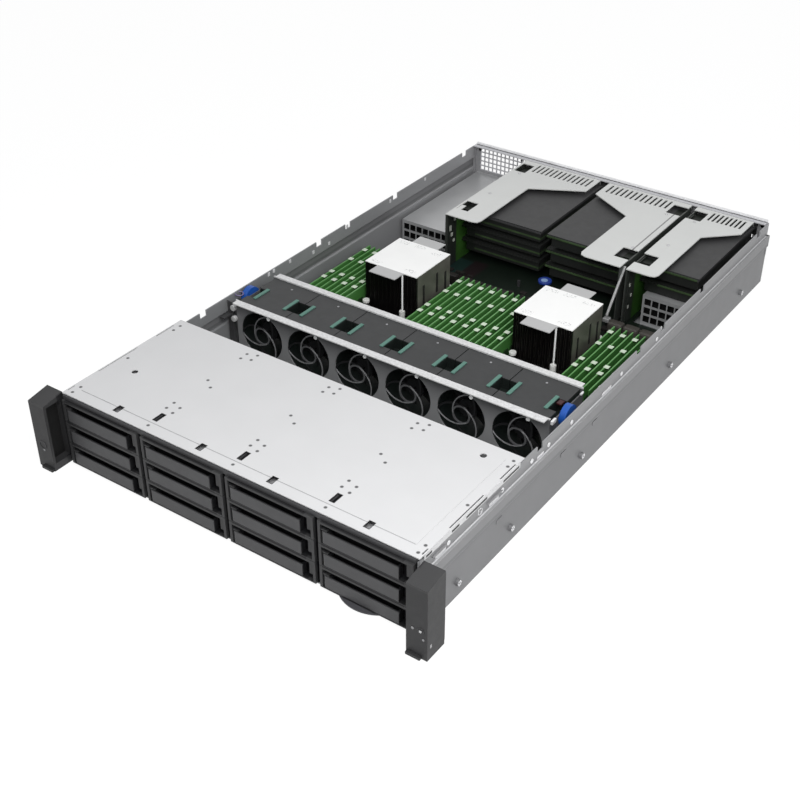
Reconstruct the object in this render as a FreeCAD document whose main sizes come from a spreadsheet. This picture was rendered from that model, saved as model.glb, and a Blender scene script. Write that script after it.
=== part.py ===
"""A 19-inch rack server, two rack units high, with its top cover off.

Millimetres. +X is the viewer's right, +Y runs from the front to the rear, +Z is up.
The origin is the centre of the footprint, at the underside of the chassis.
Sizes along Y are written from the front plane of the drive bays.
"""
import FreeCAD, Part
import os
import re

import Sketcher

# Driving dimensions: name, value, meaning
DIMENSIONS = [
    # Chassis tray
    ("ear_reach", 22.3, "rack handle's outer side beyond the chassis side"),
    ("chassis_height", 86.8, "underside to the top of the drive bay lid"),
    ("chassis_depth", 770, "drive front plane to the rear panel's outer face"),
    ("gauge", 1.2, "sheet thickness of tray and rear panel"),
    ("tray_start", 2, "front edge of the tray"),
    ("jog_height", 48, "where the side wall bulges outward"),
    ("jog_depth", 1.6, "how far it bulges"),
    ("jog_rise", 3, "height of the sloping jog"),
    ("ledge_height", 66, "top of the lower side wall"),
    ("ledge_width", 3.6, "inward step above the lower side wall"),
    ("wall_top", 82, "top of the upper side wall"),
    ("notch_width", 10, "cover hook notch in the wall's top edge"),
    ("notch_depth", 7, ""),
    ("stud_radius", 3.5, "rail stud"),
    ("stud_length", 3, ""),
    ("stud_height", 18, "rail stud centre above the underside"),
    ("hook_rise", 1.8, "how far a wall hook stands out of the upper wall"),
    ("hook_height", 73, ""),
    ("hook_inset", 20, "first wall hook behind the lid's front edge"),
    ("hook_length", 20, ""),
    ("hook_2_inset", 108, ""),
    ("hook_2_length", 25, ""),
    ("seat_gap", 0.3, "between a loose piece and its seat"),
    # Rack handles
    ("rack_width", 482.6, "over both handles"),
    ("rack_hole_inset", 8.75, "rack screw hole from the handle's outer side"),
    ("rack_hole_height", 44.4, ""),
    ("rack_hole_radius", 3.3, ""),
    ("handle_reach", 22, "handle front ahead of the drive front plane"),
    ("handle_back", 4.4, "back face of the moulding"),
    ("handle_height", 84.9, ""),
    ("handle_brow", 80.5, "height where the front slopes back"),
    ("handle_base", 0.6, "underside of the handle"),
    ("flange_gauge", 2, "steel flange behind the moulding"),
    ("foot_reach", 3, "lip at the foot of the handle"),
    ("foot_width", 15, ""),
    ("foot_height", 3, ""),
    ("grip_recess", 9, "hollow in a handle's inner side"),
    ("grip_rim", 3, "wall around the hollow"),
    ("grip_low", 9, "underside of the hollow"),
    ("button_radius", 2.2, ""),
    ("button_travel", 1.2, ""),
    ("button_proud", 0.8, ""),
    ("button_inset", 6.8, "button centre from the handle's outer side"),
    ("button_height", 32.8, ""),
    # Drive bays
    ("bay_margin", 3, "outer bays to the chassis side"),
    ("column_gap", 5, "between two carriers side by side"),
    ("row_pitch", 26.2, ""),
    ("bay_floor", 3.2, "underside of the lowest carrier"),
    ("divider_gauge", 1.5, ""),
    ("cage_floor_gauge", 1, ""),
    ("strip_height", 4, "strip across the top of the bays"),
    ("strip_depth", 8, ""),
    ("guide_width", 2.6, "guide rail under a carrier's side"),
    ("guide_rise", 0.9, "top of the guide above the row's floor"),
    ("carrier_height", 25.6, ""),
    ("carrier_length", 155, "bezel plane to the drive's rear end"),
    ("face_proud", 2.5, "carrier face ahead of the drive front plane"),
    ("bezel_depth", 8, ""),
    ("bezel_back", 1.2, "thickness behind the lever"),
    ("bezel_side", 3, "frame at the carrier's sides"),
    ("bezel_slot_width", 10, ""),
    ("bezel_low", 1.4, "frame under the lever"),
    ("bezel_high", 3, "frame above the grille"),
    ("sled_inset", 1.2, "sled side inside the bezel's side"),
    ("catch_gap", 7.1, "between a lever's end and the catch"),
    ("lever_height", 13.4, ""),
    ("lever_thickness", 7, ""),
    ("lever_plate", 2, "thickness of the lever's front"),
    ("lever_gap", 0.4, "around the lever"),
    ("pin_radius", 1.2, "hinge pin of a lever"),
    ("running_gap", 0.08, "between a pin or shaft and its bore"),
    ("catch_width", 5.5, ""),
    ("catch_height", 15, ""),
    # Lid and backplane
    ("lid_gauge", 1, ""),
    ("lid_inset", 2, "lid edge behind the drive front plane"),
    ("lid_length", 171, ""),
    ("lid_skirt_gauge", 0.9, "lid's side beyond the wall"),
    ("clip_width", 6, ""),
    ("clip_length", 9, ""),
    ("clip_inset", 9, ""),
    ("key_width", 5, ""),
    ("key_length", 12, ""),
    ("key_inset", 20, ""),
    ("key_shift", 1.8, "lock opening beside the column line"),
    ("lid_hole_radius", 3.4, ""),
    ("lid_hole_margin", 33, "lid hole from the lid's side edge"),
    ("slit_width", 1.3, "slit beside the lid's edge"),
    ("slit_inset", 1.1, ""),
    ("skirt_inset", 7, "lid's side shorter than the lid"),
    ("bead_width", 0.9, "pressed line in the lid"),
    ("bead_depth", 0.35, ""),
    ("bead_inset", 15, ""),
    ("bead_margin", 13, "pressed line from the lid's side edge"),
    ("backplane_gap", 7, "between the drives and the backplane"),
    ("backplane_gauge", 2.4, ""),
    ("backplane_height", 78.5, ""),
    ("connector_width", 42, "drive connector"),
    ("connector_height", 5, ""),
    ("backplane_vent_height", 7, ""),
    # Information tab
    ("tab_shift", 8.8, "tab centre from the right column's centre"),
    ("tab_width", 48, ""),
    ("tab_reach", 8.2, "how far it shows ahead of the bays"),
    ("tab_length", 66, "hidden length"),
    ("tab_gauge", 1.2, ""),
    # Fan cage
    ("fan_margin", 18.9, "outer fan bay to the chassis side"),
    ("cage_distance", 246, "drive front plane to the fan cage's front wall"),
    ("cage_length", 68, "over the fan cage's walls"),
    ("cage_gauge", 1.2, ""),
    ("front_flange_width", 8, ""),
    ("rear_flange_width", 7, ""),
    ("cage_height", 82.2, "underside of the chassis to the top of the flanges"),
    ("fan_gap", 1.1, "between two fans"),
    ("fan_height", 80.4, "underside of the chassis to the top of a fan"),
    ("fan_axis_height", 46, "height of the fan shafts"),
    ("duct_wall", 4.3, "thinnest wall beside a fan's air duct"),
    ("opening_margin", 0.7, "cage opening radius over the air duct"),
    ("guard_ring", 10, "guard ring radius"),
    ("guard_wire", 1.9, "guard wire width"),
    ("grip_length", 25, ""),
    ("grip_width", 4, ""),
    ("grip_rise", 1.2, ""),
    ("pocket_width", 9.4, "finger pocket at each side of a fan's top"),
    ("pocket_length", 22, ""),
    ("pocket_depth", 13, ""),
    ("grip_inset", 26.5, "finger grip's centre behind the fan's front"),
    ("motor_radius", 11, ""),
    ("motor_length", 9, ""),
    ("strut_width", 3, ""),
    ("shaft_radius", 2, ""),
    ("blade_root_radius", 9.5, ""),
    ("tip_gap", 2.5, "between the blades and the air duct"),
    ("hub_length", 34, ""),
    ("hub_inset", 12, "hub face behind the housing's front"),
    ("blade_thickness", 1.6, ""),
    # Release levers of the fan cage
    ("knob_radius", 12, ""),
    ("knob_thickness", 7, ""),
    ("knob_height", 72, "centre of the round end"),
    ("pivot_height", 58, "height of the pivot"),
    ("knob_inset", 29, "knob centre behind the cage's front wall"),
    ("knob_pin_radius", 2, ""),
    # Mainboard
    ("board_lift", 6, "underside of the mainboard"),
    ("board_gauge", 1.6, ""),
    ("board_front_gap", 5, "between the fan cage and the mainboard"),
    ("board_rear_gap", 6, "mainboard edge ahead of the rear panel's outer face"),
    ("wing_gap", 11, "wide part's rear edge ahead of the power supplies"),
    ("board_margin", 8, "mainboard edge to the chassis side"),
    ("neck_gap", 4.8, "between a power supply and the board's narrow part"),
    ("standoff_radius", 3, ""),
    ("standoff_inset", 14, "standoff from the board's edge"),
    ("processor_left_shift", 0.5, "inward from the middle of the board's left half"),
    ("processor_right_shift", 5, ""),
    ("processor_shift", 5, "behind the middle of the processor bay"),
    ("socket_width", 62, "processor socket"),
    ("socket_length", 80, ""),
    ("socket_rise", 5, "processor package above the board"),
    # Memory
    ("bank_clearance", 3.2, "memory bank beside a heatsink"),
    ("bank_spare", 13, "width left beside a processor's two memory banks"),
    ("slot_width", 6.2, ""),
    ("slot_length", 142, ""),
    ("slot_height", 9, ""),
    ("slot_floor_height", 2.4, "module's edge above the board"),
    ("latch_height", 17, ""),
    ("latch_length", 4.2, ""),
    ("module_length", 133.35, ""),
    ("module_height", 31.25, ""),
    ("module_gauge", 1.4, ""),
    ("memory_shift", 5.5, "ahead of the middle of the processor bay"),
    # Heatsinks
    ("sink_width", 74, ""),
    ("sink_length", 71, ""),
    ("sink_height", 77.5, "underside of the chassis to the heatsink's top"),
    ("sink_base_length", 94, ""),
    ("sink_base_gauge", 5, ""),
    ("fin_gauge", 1, ""),
    ("nut_radius", 4, ""),
    ("nut_height", 9, ""),
    ("cover_gauge", 1, ""),
    ("lift_tab_width", 37, ""),
    ("lift_tab_length", 18, ""),
    ("rod_radius", 1.1, ""),
    ("rod_offset", 17.7, ""),
    # Risers and cards
    ("riser_height", 84.2, "underside of the chassis to the riser covers' top"),
    ("riser_gauge", 1.2, ""),
    ("riser_rear_gap", 13, "behind a riser cover"),
    ("riser_length", 199, ""),
    ("shoulder_length", 75, "rear edge to the start of the slanting edge"),
    ("head_length", 39.5, "rear edge to the end of the slanting edge"),
    ("left_spine_inset", 7.3, "left cover's side inside the board's narrow part"),
    ("left_neck_width", 47.5, ""),
    ("left_head_inset", 13, "left cover's head to the middle"),
    ("middle_spine_inset", 16.4, ""),
    ("middle_neck_width", 55, ""),
    ("middle_head_inset", 0.6, ""),
    ("right_spine_inset", 8.5, ""),
    ("right_neck_width", 38, ""),
    ("right_head_margin", 18.5, "right cover's head to the chassis side"),
    ("cover_round", 8, "rounded front corner"),
    ("window_width", 17, ""),
    ("window_length", 27, ""),
    ("window_front_inset", 21, ""),
    ("window_rear_inset", 37, ""),
    ("vent_width", 3, ""),
    ("vent_margin", 7, "vents to the cover's edges"),
    ("vent_inset", 28, ""),
    ("vent_length", 24, ""),
    ("riser_board_gauge", 1.6, ""),
    ("riser_board_inset", 4, ""),
    ("card_height", 74.4, "underside of the top card's board"),
    ("card_pitch", 20.32, ""),
    ("card_inset", 36, "cards behind the riser cover's front edge"),
    ("card_board_gauge", 1.6, ""),
    ("card_back_gauge", 2, "plate over a card's board"),
    ("card_body_height", 12, "components under a card's board"),
    ("left_card_inset", 8.5, "left cards' edge to the middle"),
    ("middle_card_inset", 0.3, ""),
    ("right_card_margin", 17, "right cards' edge to the chassis side"),
    ("card_opening_margin", 5, ""),
    ("bracket_gauge", 1, ""),
    # Power supplies
    ("supply_width", 73.5, ""),
    ("supply_length", 185, ""),
    ("supply_height", 40, ""),
    ("supply_margin", 6.7, "power supply's outer side to the chassis side"),
    ("supply_gap", 0.5, "around a supply in the rear panel"),
    ("grille_hole", 8.3, ""),
    ("grille_pitch", 9.9, ""),
    ("grille_rise", 11.5, ""),
    ("grille_depth", 5, ""),
    ("supply_handle_reach", 23, "handle behind the rear panel"),
    ("supply_handle_bar", 5, ""),
    ("supply_handle_drop", 13, "handle below the supply's top"),
    ("supply_fan_radius", 16, ""),
    ("supply_fan_margin", 3, ""),
    ("supply_hub_radius", 6.4, ""),
    ("inlet_width", 27, ""),
    ("inlet_height", 19, ""),
    ("inlet_depth", 12, ""),
    ("inlet_margin", 4, ""),
    # Rear panel
    ("mesh_hole", 5, ""),
    ("mesh_pitch", 6.6, ""),
    ("mesh_margin", 8, ""),
    ("mesh_rise", 7, "mesh above the power supply"),
    ("panel_flange_width", 10, ""),
    ("port_height", 13, ""),
    ("port_width", 18, ""),
    ("port_inset", 20, "first port from the board's narrow part's edge"),
    ("port_end_inset", 33.6, "last port from the other edge"),
    ("port_gap", 0.6, "around a port in the rear panel"),
    ("port_length", 14, ""),
]

FAN_COUNT = 6
PORT_COUNT = 5
BEZEL_SLOT_COUNT = 6
COLUMN_COUNT = 4
ROW_COUNT = 3
BLADE_COUNT = 7
FIN_COUNT = 13
LONG_VENT_COUNT = 13
SHORT_VENT_COUNT = 8
SLOTS_PER_BANK = 8

# Places along the tray from the drive front plane, and from the rear panel's outer face
FRONT_STATIONS = {"stud_1": 60, "stud_2": 152, "stud_3": 290, "notch_1": 200, "notch_2": 407}
REAR_STATIONS = {"stud_4": 273, "stud_5": 73, "notch_3": 305, "notch_4": 203, "notch_5": 38}
# Clip openings in the lid, from the middle of their column
CLIP_STATIONS = {"clip_1": 13, "clip_2": 14, "clip_3": -7, "clip_4": -6}

doc = FreeCAD.newDocument("rack_server")
sheet = doc.addObject("Spreadsheet::Sheet", "dims")
ALIASES = set()
NODES = []


def fill_sheet():
    rows = list(DIMENSIONS)
    for stations, meaning in (
        (FRONT_STATIONS, "from the drive front plane"),
        (REAR_STATIONS, "from the rear panel's outer face"),
        (CLIP_STATIONS, "from the middle of the column"),
    ):
        rows += [(f"{name}_at", value, meaning) for name, value in stations.items()]
    for number, (alias, value, meaning) in enumerate(rows, start=1):
        sheet.set(f"A{number}", alias)
        sheet.set(f"B{number}", str(value))
        sheet.set(f"C{number}", meaning)
        sheet.setAlias(f"B{number}", alias)
        ALIASES.add(alias)
    doc.recompute()


def bound(text):
    """Turn the sheet's names in an expression into references to its cells."""
    def reference(match):
        word = match.group(0)
        return f"dims.{word}" if word in ALIASES else word
    return re.sub(r"[a-z][a-z_0-9]*", reference, text)


def bind(thing, **expressions):
    for name, text in expressions.items():
        thing.setExpression(name, bound(text))


def place(thing, x="0", y="0", z="0"):
    for axis, text in (("x", x), ("y", y), ("z", z)):
        thing.setExpression(f"Placement.Base.{axis}", bound(text))


def box(name, x, y, z):
    """A box between two values along each axis."""
    solid = doc.addObject("Part::Box", name)
    bind(
        solid,
        Length=f"({x[1]}) - ({x[0]})",
        Width=f"({y[1]}) - ({y[0]})",
        Height=f"({z[1]}) - ({z[0]})",
    )
    place(solid, x[0], y[0], z[0])
    return solid


AXIS_TURNS = {
    "x": FreeCAD.Rotation(FreeCAD.Vector(0, 1, 0), 90),
    "y": FreeCAD.Rotation(FreeCAD.Vector(1, 0, 0), -90),
    "z": FreeCAD.Rotation(),
}


def cylinder(name, axis, radius, span, x="0", y="0", z="0"):
    """A cylinder along an axis, from one value to another on it."""
    solid = doc.addObject("Part::Cylinder", name)
    solid.Placement = FreeCAD.Placement(FreeCAD.Vector(), AXIS_TURNS[axis])
    bind(solid, Radius=radius, Height=f"({span[1]}) - ({span[0]})")
    centre = {"x": x, "y": y, "z": z}
    centre[axis] = span[0]
    place(solid, **centre)
    return solid


def fuse(name, *shapes):
    solid = doc.addObject("Part::MultiFuse", name)
    solid.Shapes = list(shapes)
    solid.Refine = True
    return solid


def gather(name, *shapes):
    """Separate solids kept as one group."""
    group = doc.addObject("Part::Compound", name)
    group.Links = list(shapes)
    return group


def cut(name, base, *tools):
    solid = doc.addObject("Part::Cut", name)
    solid.Base = base
    solid.Tool = tools[0] if len(tools) == 1 else gather(f"{name}_tools", *tools)
    return solid


def common(name, base, tool):
    solid = doc.addObject("Part::Common", name)
    solid.Base = base
    solid.Tool = tool
    return solid


def copy(name, source, x="0", y="0", z="0", turn=None):
    solid = gather(name, source)
    if turn is not None:
        solid.Placement = FreeCAD.Placement(FreeCAD.Vector(), turn)
    place(solid, x, y, z)
    return solid


def origin_plane(body, role):
    return next(feature for feature in body.Origin.OriginFeatures if feature.Role == role)


def new_sketch(body, name, role, lift=None):
    sketch = body.newObject("Sketcher::SketchObject", name)
    sketch.AttachmentSupport = [(origin_plane(body, role), "")]
    sketch.MapMode = "FlatFace"
    if lift is not None:
        sketch.setExpression("AttachmentOffset.Base.z", bound(lift))
    return sketch


def constrain(sketch, kind, text, *references):
    """Add a sketch dimension that follows the sheet."""
    index = sketch.addConstraint(Sketcher.Constraint(kind, *references, 1.0))
    name = f"{kind}_{index}"
    sketch.renameConstraint(index, name)
    sketch.setExpression(f"Constraints.{name}", bound(text))


def draw_outline(sketch, points):
    """A closed outline through points whose coordinates are expressions."""
    first = sketch.GeometryCount
    count = len(points)
    start = [FreeCAD.Vector(index, index * index, 0) for index in range(count)]
    for index in range(count):
        sketch.addGeometry(Part.LineSegment(start[index], start[(index + 1) % count]))
    for index in range(count):
        following = first + (index + 1) % count
        sketch.addConstraint(Sketcher.Constraint("Coincident", first + index, 2, following, 1))
    for index, (across, up) in enumerate(points):
        constrain(sketch, "DistanceX", across, -1, 1, first + index, 1)
        constrain(sketch, "DistanceY", up, -1, 1, first + index, 1)


def draw_circle(sketch, across, up, radius):
    index = sketch.addGeometry(Part.Circle(FreeCAD.Vector(1, 1, 0), FreeCAD.Vector(0, 0, 1), 1.0))
    constrain(sketch, "DistanceX", across, -1, 1, index, 3)
    constrain(sketch, "DistanceY", up, -1, 1, index, 3)
    constrain(sketch, "Radius", radius, index)


def pad(body, sketch, length, reverse=False):
    feature = body.newObject("PartDesign::Pad", f"{sketch.Name}_pad")
    feature.Profile = sketch
    feature.Reversed = reverse
    bind(feature, Length=length)
    return feature


def padded_body(name, role, outline, length, reverse=False, circles=()):
    """A body made by padding one outline, with round holes through it."""
    body = doc.addObject("PartDesign::Body", name)
    sketch = new_sketch(body, f"{name}_outline", role)
    draw_outline(sketch, outline)
    for circle in circles:
        draw_circle(sketch, *circle)
    pad(body, sketch, length, reverse)
    return body


FRONT = "(handle_reach + foot_reach - chassis_depth - supply_handle_reach) / 2"


def node(name, solid, x="0", y="0", z="0"):
    """Name a sub-part and place it in the object's frame."""
    solid.Label = name
    place(solid, x, f"{FRONT} + ({y})", z)
    NODES.append(solid)
    return solid


HALF = "(rack_width / 2 - ear_reach)"
UPPER_OUTER = f"({HALF} - ledge_width)"
UPPER_INNER = f"({HALF} - ledge_width - gauge)"
LOWER_OUTER = f"({HALF} - jog_depth)"
LOWER_INNER = f"({HALF} - jog_depth - gauge)"
BOARD_TOP = "(board_lift + board_gauge)"
CAGE_TOP = "(chassis_height - lid_gauge - seat_gap)"
LID_FRONT = "lid_inset"
LID_BACK = "(lid_inset + lid_length)"
LID_HALF = f"({UPPER_OUTER} + seat_gap + lid_skirt_gauge)"
COLUMN_PITCH = f"(({HALF} - bay_margin) / 2)"
CARRIER_LEFT = "(column_gap / 2)"
CARRIER_RIGHT = f"({COLUMN_PITCH} - column_gap / 2)"
BACKPLANE_FRONT = "(carrier_length + backplane_gap)"
BACKPLANE_TOP = "(gauge + seat_gap + backplane_height)"
TAB_CENTRE = f"(1.5 * {COLUMN_PITCH} - tab_shift)"
CAGE_FRONT = "cage_distance"
CAGE_BACK = "(cage_distance + cage_length)"
FAN_PITCH = f"(({HALF} - fan_margin) / 3)"
FAN_WIDTH = f"({FAN_PITCH} - fan_gap)"
FAN_BORE = f"({FAN_WIDTH} / 2 - duct_wall)"
BLADE_TIP = f"({FAN_BORE} - tip_gap)"
KNOB_Y = "(cage_distance + knob_inset)"
SUPPLY_OUTER = f"({HALF} - supply_margin)"
BOARD_HALF = f"({HALF} - board_margin)"
BOARD_NECK = f"({SUPPLY_OUTER} - supply_width - neck_gap)"
PORT_ROOM = f"(2 * {BOARD_NECK} - port_inset - port_width - port_end_inset)"
PORT_PITCH = f"({PORT_ROOM} / {PORT_COUNT - 1})"
BOARD_FRONT = f"({CAGE_BACK} + rear_flange_width + board_front_gap)"
BOARD_BACK = "(chassis_depth - board_rear_gap)"
WING_BACK = "(chassis_depth - supply_length - wing_gap)"
RISER_BACK = "(chassis_depth - riser_rear_gap)"
RISER_FRONT = f"({RISER_BACK} - riser_length)"
PROCESSOR_BAY = f"(({CAGE_BACK} + rear_flange_width + {RISER_FRONT}) / 2)"
PROCESSOR_Y = f"({PROCESSOR_BAY} + processor_shift)"
PROCESSORS = {
    "left": f"(-{BOARD_HALF} / 2 + processor_left_shift)",
    "right": f"({BOARD_HALF} / 2 - processor_right_shift)",
}
MEMORY_Y = f"({PROCESSOR_BAY} - memory_shift)"
SLOT_PITCH = f"(({BOARD_HALF} - sink_width - bank_spare) / {2 * SLOTS_PER_BANK})"
BANK_OFFSET = f"(sink_width / 2 + {SLOTS_PER_BANK} / 2 * {SLOT_PITCH} + bank_clearance)"
CARD_FRONT = f"({RISER_FRONT} + card_inset)"
LEFT_CARDS = "(-left_card_inset)"
MIDDLE_CARDS = "middle_card_inset"
RIGHT_CARDS = f"({HALF} - right_card_margin)"
# Riser covers: side leg, edge of the narrow part, edge of the wide part, number of vents
RISERS = {
    "left": (
        f"(-{BOARD_NECK} + left_spine_inset)",
        f"(-{BOARD_NECK} + left_spine_inset + left_neck_width)",
        "(-left_head_inset)", LONG_VENT_COUNT,
    ),
    "middle": (
        f"({BOARD_NECK} - middle_spine_inset)",
        f"({BOARD_NECK} - middle_spine_inset - middle_neck_width)",
        "middle_head_inset", LONG_VENT_COUNT,
    ),
    "right": (
        f"({BOARD_NECK} - right_spine_inset)",
        f"({BOARD_NECK} - right_spine_inset + right_neck_width)",
        f"({HALF} - right_head_margin)", SHORT_VENT_COUNT,
    ),
}
SIDES = (("left", "-1"), ("right", "1"))


def span_at(sign, low, high):
    """The two values along X of a piece that is mirrored about the middle."""
    return (low, high) if sign == "1" else (f"-({high})", f"-({low})")


def stations(kind):
    """Names and places of the studs or notches along the tray."""
    for name in FRONT_STATIONS:
        if name.startswith(kind):
            yield name, f"{name}_at"
    for name in REAR_STATIONS:
        if name.startswith(kind):
            yield name, f"(chassis_depth - {name}_at)"


def make_chassis_tray():
    half_profile = [
        (LOWER_OUTER, "0"),
        (LOWER_OUTER, "jog_height"),
        (HALF, "jog_height + jog_rise"),
        (HALF, "ledge_height"),
        (UPPER_OUTER, "ledge_height"),
        (UPPER_OUTER, "wall_top"),
        (UPPER_INNER, "wall_top"),
        (UPPER_INNER, "ledge_height - gauge"),
        (f"{HALF} - gauge", "ledge_height - gauge"),
        (f"{HALF} - gauge", "jog_height + jog_rise"),
        (LOWER_INNER, "jog_height"),
        (LOWER_INNER, "gauge"),
    ]
    mirrored = [(f"-({across})", up) for across, up in reversed(half_profile)]
    sheet_metal = padded_body(
        "tray_sheet", "XZ_Plane", half_profile + mirrored, "chassis_depth - tray_start", reverse=True
    )
    place(sheet_metal, y="tray_start")
    notches = []
    for name, start in stations("notch"):
        for side, sign in SIDES:
            notches.append(box(
                f"{name}_{side}",
                span_at(sign, f"{UPPER_INNER} - 1", f"{UPPER_OUTER} + 1"),
                (start, f"{start} + notch_width"), ("wall_top - notch_depth", "wall_top + 1"),
            ))
    notched = cut("tray_notched", sheet_metal, *notches)
    additions = []
    for name in ("hook", "hook_2"):
        start = f"({LID_FRONT} + {name}_inset)"
        for side, sign in SIDES:
            additions.append(box(
                f"wall_{name}_{side}",
                span_at(sign, f"{UPPER_OUTER} - gauge / 2", f"{UPPER_OUTER} + hook_rise"),
                (start, f"{start} + {name}_length"), ("hook_height", "hook_height + gauge"),
            ))
    for name, station in stations("stud"):
        for side, sign in SIDES:
            additions.append(cylinder(
                f"{name}_{side}", "x", "stud_radius",
                span_at(sign, f"{LOWER_OUTER} - gauge / 2", f"{LOWER_OUTER} + stud_length"),
                y=station, z="stud_height",
            ))
    reach = f"({BOARD_NECK} - standoff_inset)"
    rows = (
        f"{BOARD_FRONT} + standoff_inset", f"{WING_BACK} - standoff_inset",
        f"{BOARD_BACK} - standoff_inset",
    )
    for column, across in enumerate((f"-{reach}", "0", reach)):
        for row, along in enumerate(rows):
            additions.append(cylinder(
                f"standoff_{column}_{row}", "z", "standoff_radius",
                ("gauge / 2", "board_lift"), x=across, y=along,
            ))
    node("chassis_tray", fuse("tray_whole", notched, *additions))


def make_rear_panel():
    half = f"({UPPER_INNER} - seat_gap)"
    plate = box(
        "panel_plate", (f"-{half}", half), ("chassis_depth - gauge", "chassis_depth"),
        ("gauge", "wall_top"),
    )
    flange = box(
        "panel_flange", (f"-{half}", half), ("chassis_depth - panel_flange_width", "chassis_depth"),
        ("wall_top", "wall_top + gauge"),
    )
    openings = []
    for side, sign in SIDES:
        openings.append(box(
            f"supply_opening_{side}",
            span_at(sign, f"{SUPPLY_OUTER} - supply_width - supply_gap", f"{SUPPLY_OUTER} + supply_gap"),
            ("chassis_depth - 2 * gauge", "chassis_depth + 1"),
            ("gauge - 1", "supply_height + gauge + seat_gap + supply_gap"),
        ))
    for name, low, high, count in (
        ("left", RISERS["left"][0], LEFT_CARDS, 3),
        ("middle", MIDDLE_CARDS, RISERS["middle"][0], 3),
        ("right", RISERS["right"][0], RIGHT_CARDS, 2),
    ):
        floor = f"card_height - {count - 1} * card_pitch - card_body_height + gauge"
        openings.append(box(
            f"card_opening_{name}", (f"{low} + card_opening_margin", f"{high} - card_opening_margin"),
            ("chassis_depth - 2 * gauge", "chassis_depth + 1"), (floor, "card_height + card_board_gauge"),
        ))
    for index in range(PORT_COUNT):
        low = f"(-{BOARD_NECK} + port_inset + {index} * {PORT_PITCH})"
        openings.append(box(
            f"port_opening_{index}", (low, f"{low} + port_width"),
            ("chassis_depth - 2 * gauge", "chassis_depth + 1"),
            (f"{BOARD_TOP} - 2 * port_gap", f"{BOARD_TOP} + port_height"),
        ))
    for column in range(11):
        for row in range(5):
            low = f"(-{half} + mesh_margin + {column} * mesh_pitch)"
            bottom = f"(supply_height + mesh_rise + {row} * mesh_pitch)"
            openings.append(box(
                f"mesh_{column}_{row}", (low, f"{low} + mesh_hole"),
                ("chassis_depth - 2 * gauge", "chassis_depth + 1"),
                (bottom, f"{bottom} + mesh_hole"),
            ))
    node("rear_panel", cut("panel_whole", fuse("panel_sheet", plate, flange), *openings))


def make_drive_cage():
    cage_back = f"({BACKPLANE_FRONT} - seat_gap)"
    side_outer = f"({LOWER_INNER} - seat_gap)"
    pieces = [box(
        "cage_floor", (f"-{side_outer}", side_outer), ("strip_depth + 6", cage_back),
        ("gauge + seat_gap", "gauge + seat_gap + cage_floor_gauge"),
    )]
    for name, low, high in (
        ("front", "0", "strip_depth"), ("back", f"{cage_back} - strip_depth", cage_back)
    ):
        half = f"({UPPER_INNER} - seat_gap)"
        pieces.append(box(
            f"cage_strip_{name}", (f"-{half}", half), (low, high),
            (f"{CAGE_TOP} - strip_height", CAGE_TOP),
        ))
    for index in range(1, COLUMN_COUNT):
        middle = f"(({index} - 2) * {COLUMN_PITCH})"
        pieces.append(box(
            f"divider_{index}",
            (f"{middle} - divider_gauge / 2", f"{middle} + divider_gauge / 2"),
            ("tray_start", cage_back), ("gauge + seat_gap", CAGE_TOP),
        ))
    for side, sign in SIDES:
        pieces.append(box(
            f"cage_side_{side}", span_at(sign, f"{side_outer} - divider_gauge", side_outer),
            ("bezel_depth + 2", cage_back), ("gauge + seat_gap", "ledge_height - 2 * gauge"),
        ))
    for index in range(COLUMN_COUNT + 1):
        middle = f"(({index} - 2) * {COLUMN_PITCH})"
        for row in range(ROW_COUNT):
            floor = f"(bay_floor + {row} * row_pitch)"
            reach = f"({CARRIER_LEFT} + sled_inset + guide_width / 2)"
            left = f"{middle} - {reach}" if index > 0 else f"-{side_outer}"
            right = f"{middle} + {reach}" if index < COLUMN_COUNT else side_outer
            pieces.append(box(
                f"guide_{index}_{row}", (left, right), ("bezel_depth + 8", cage_back),
                (f"{floor} - guide_rise", f"{floor} + guide_rise - seat_gap"),
            ))
    slot = box(
        "tab_slot",
        (f"{TAB_CENTRE} - tab_width / 2 - seat_gap", f"{TAB_CENTRE} + tab_width / 2 + seat_gap"),
        ("0", "tab_length + 2"), ("gauge", "bay_floor"),
    )
    node("drive_cage", cut("cage_whole", fuse("cage_sheet", *pieces), slot))


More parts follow.
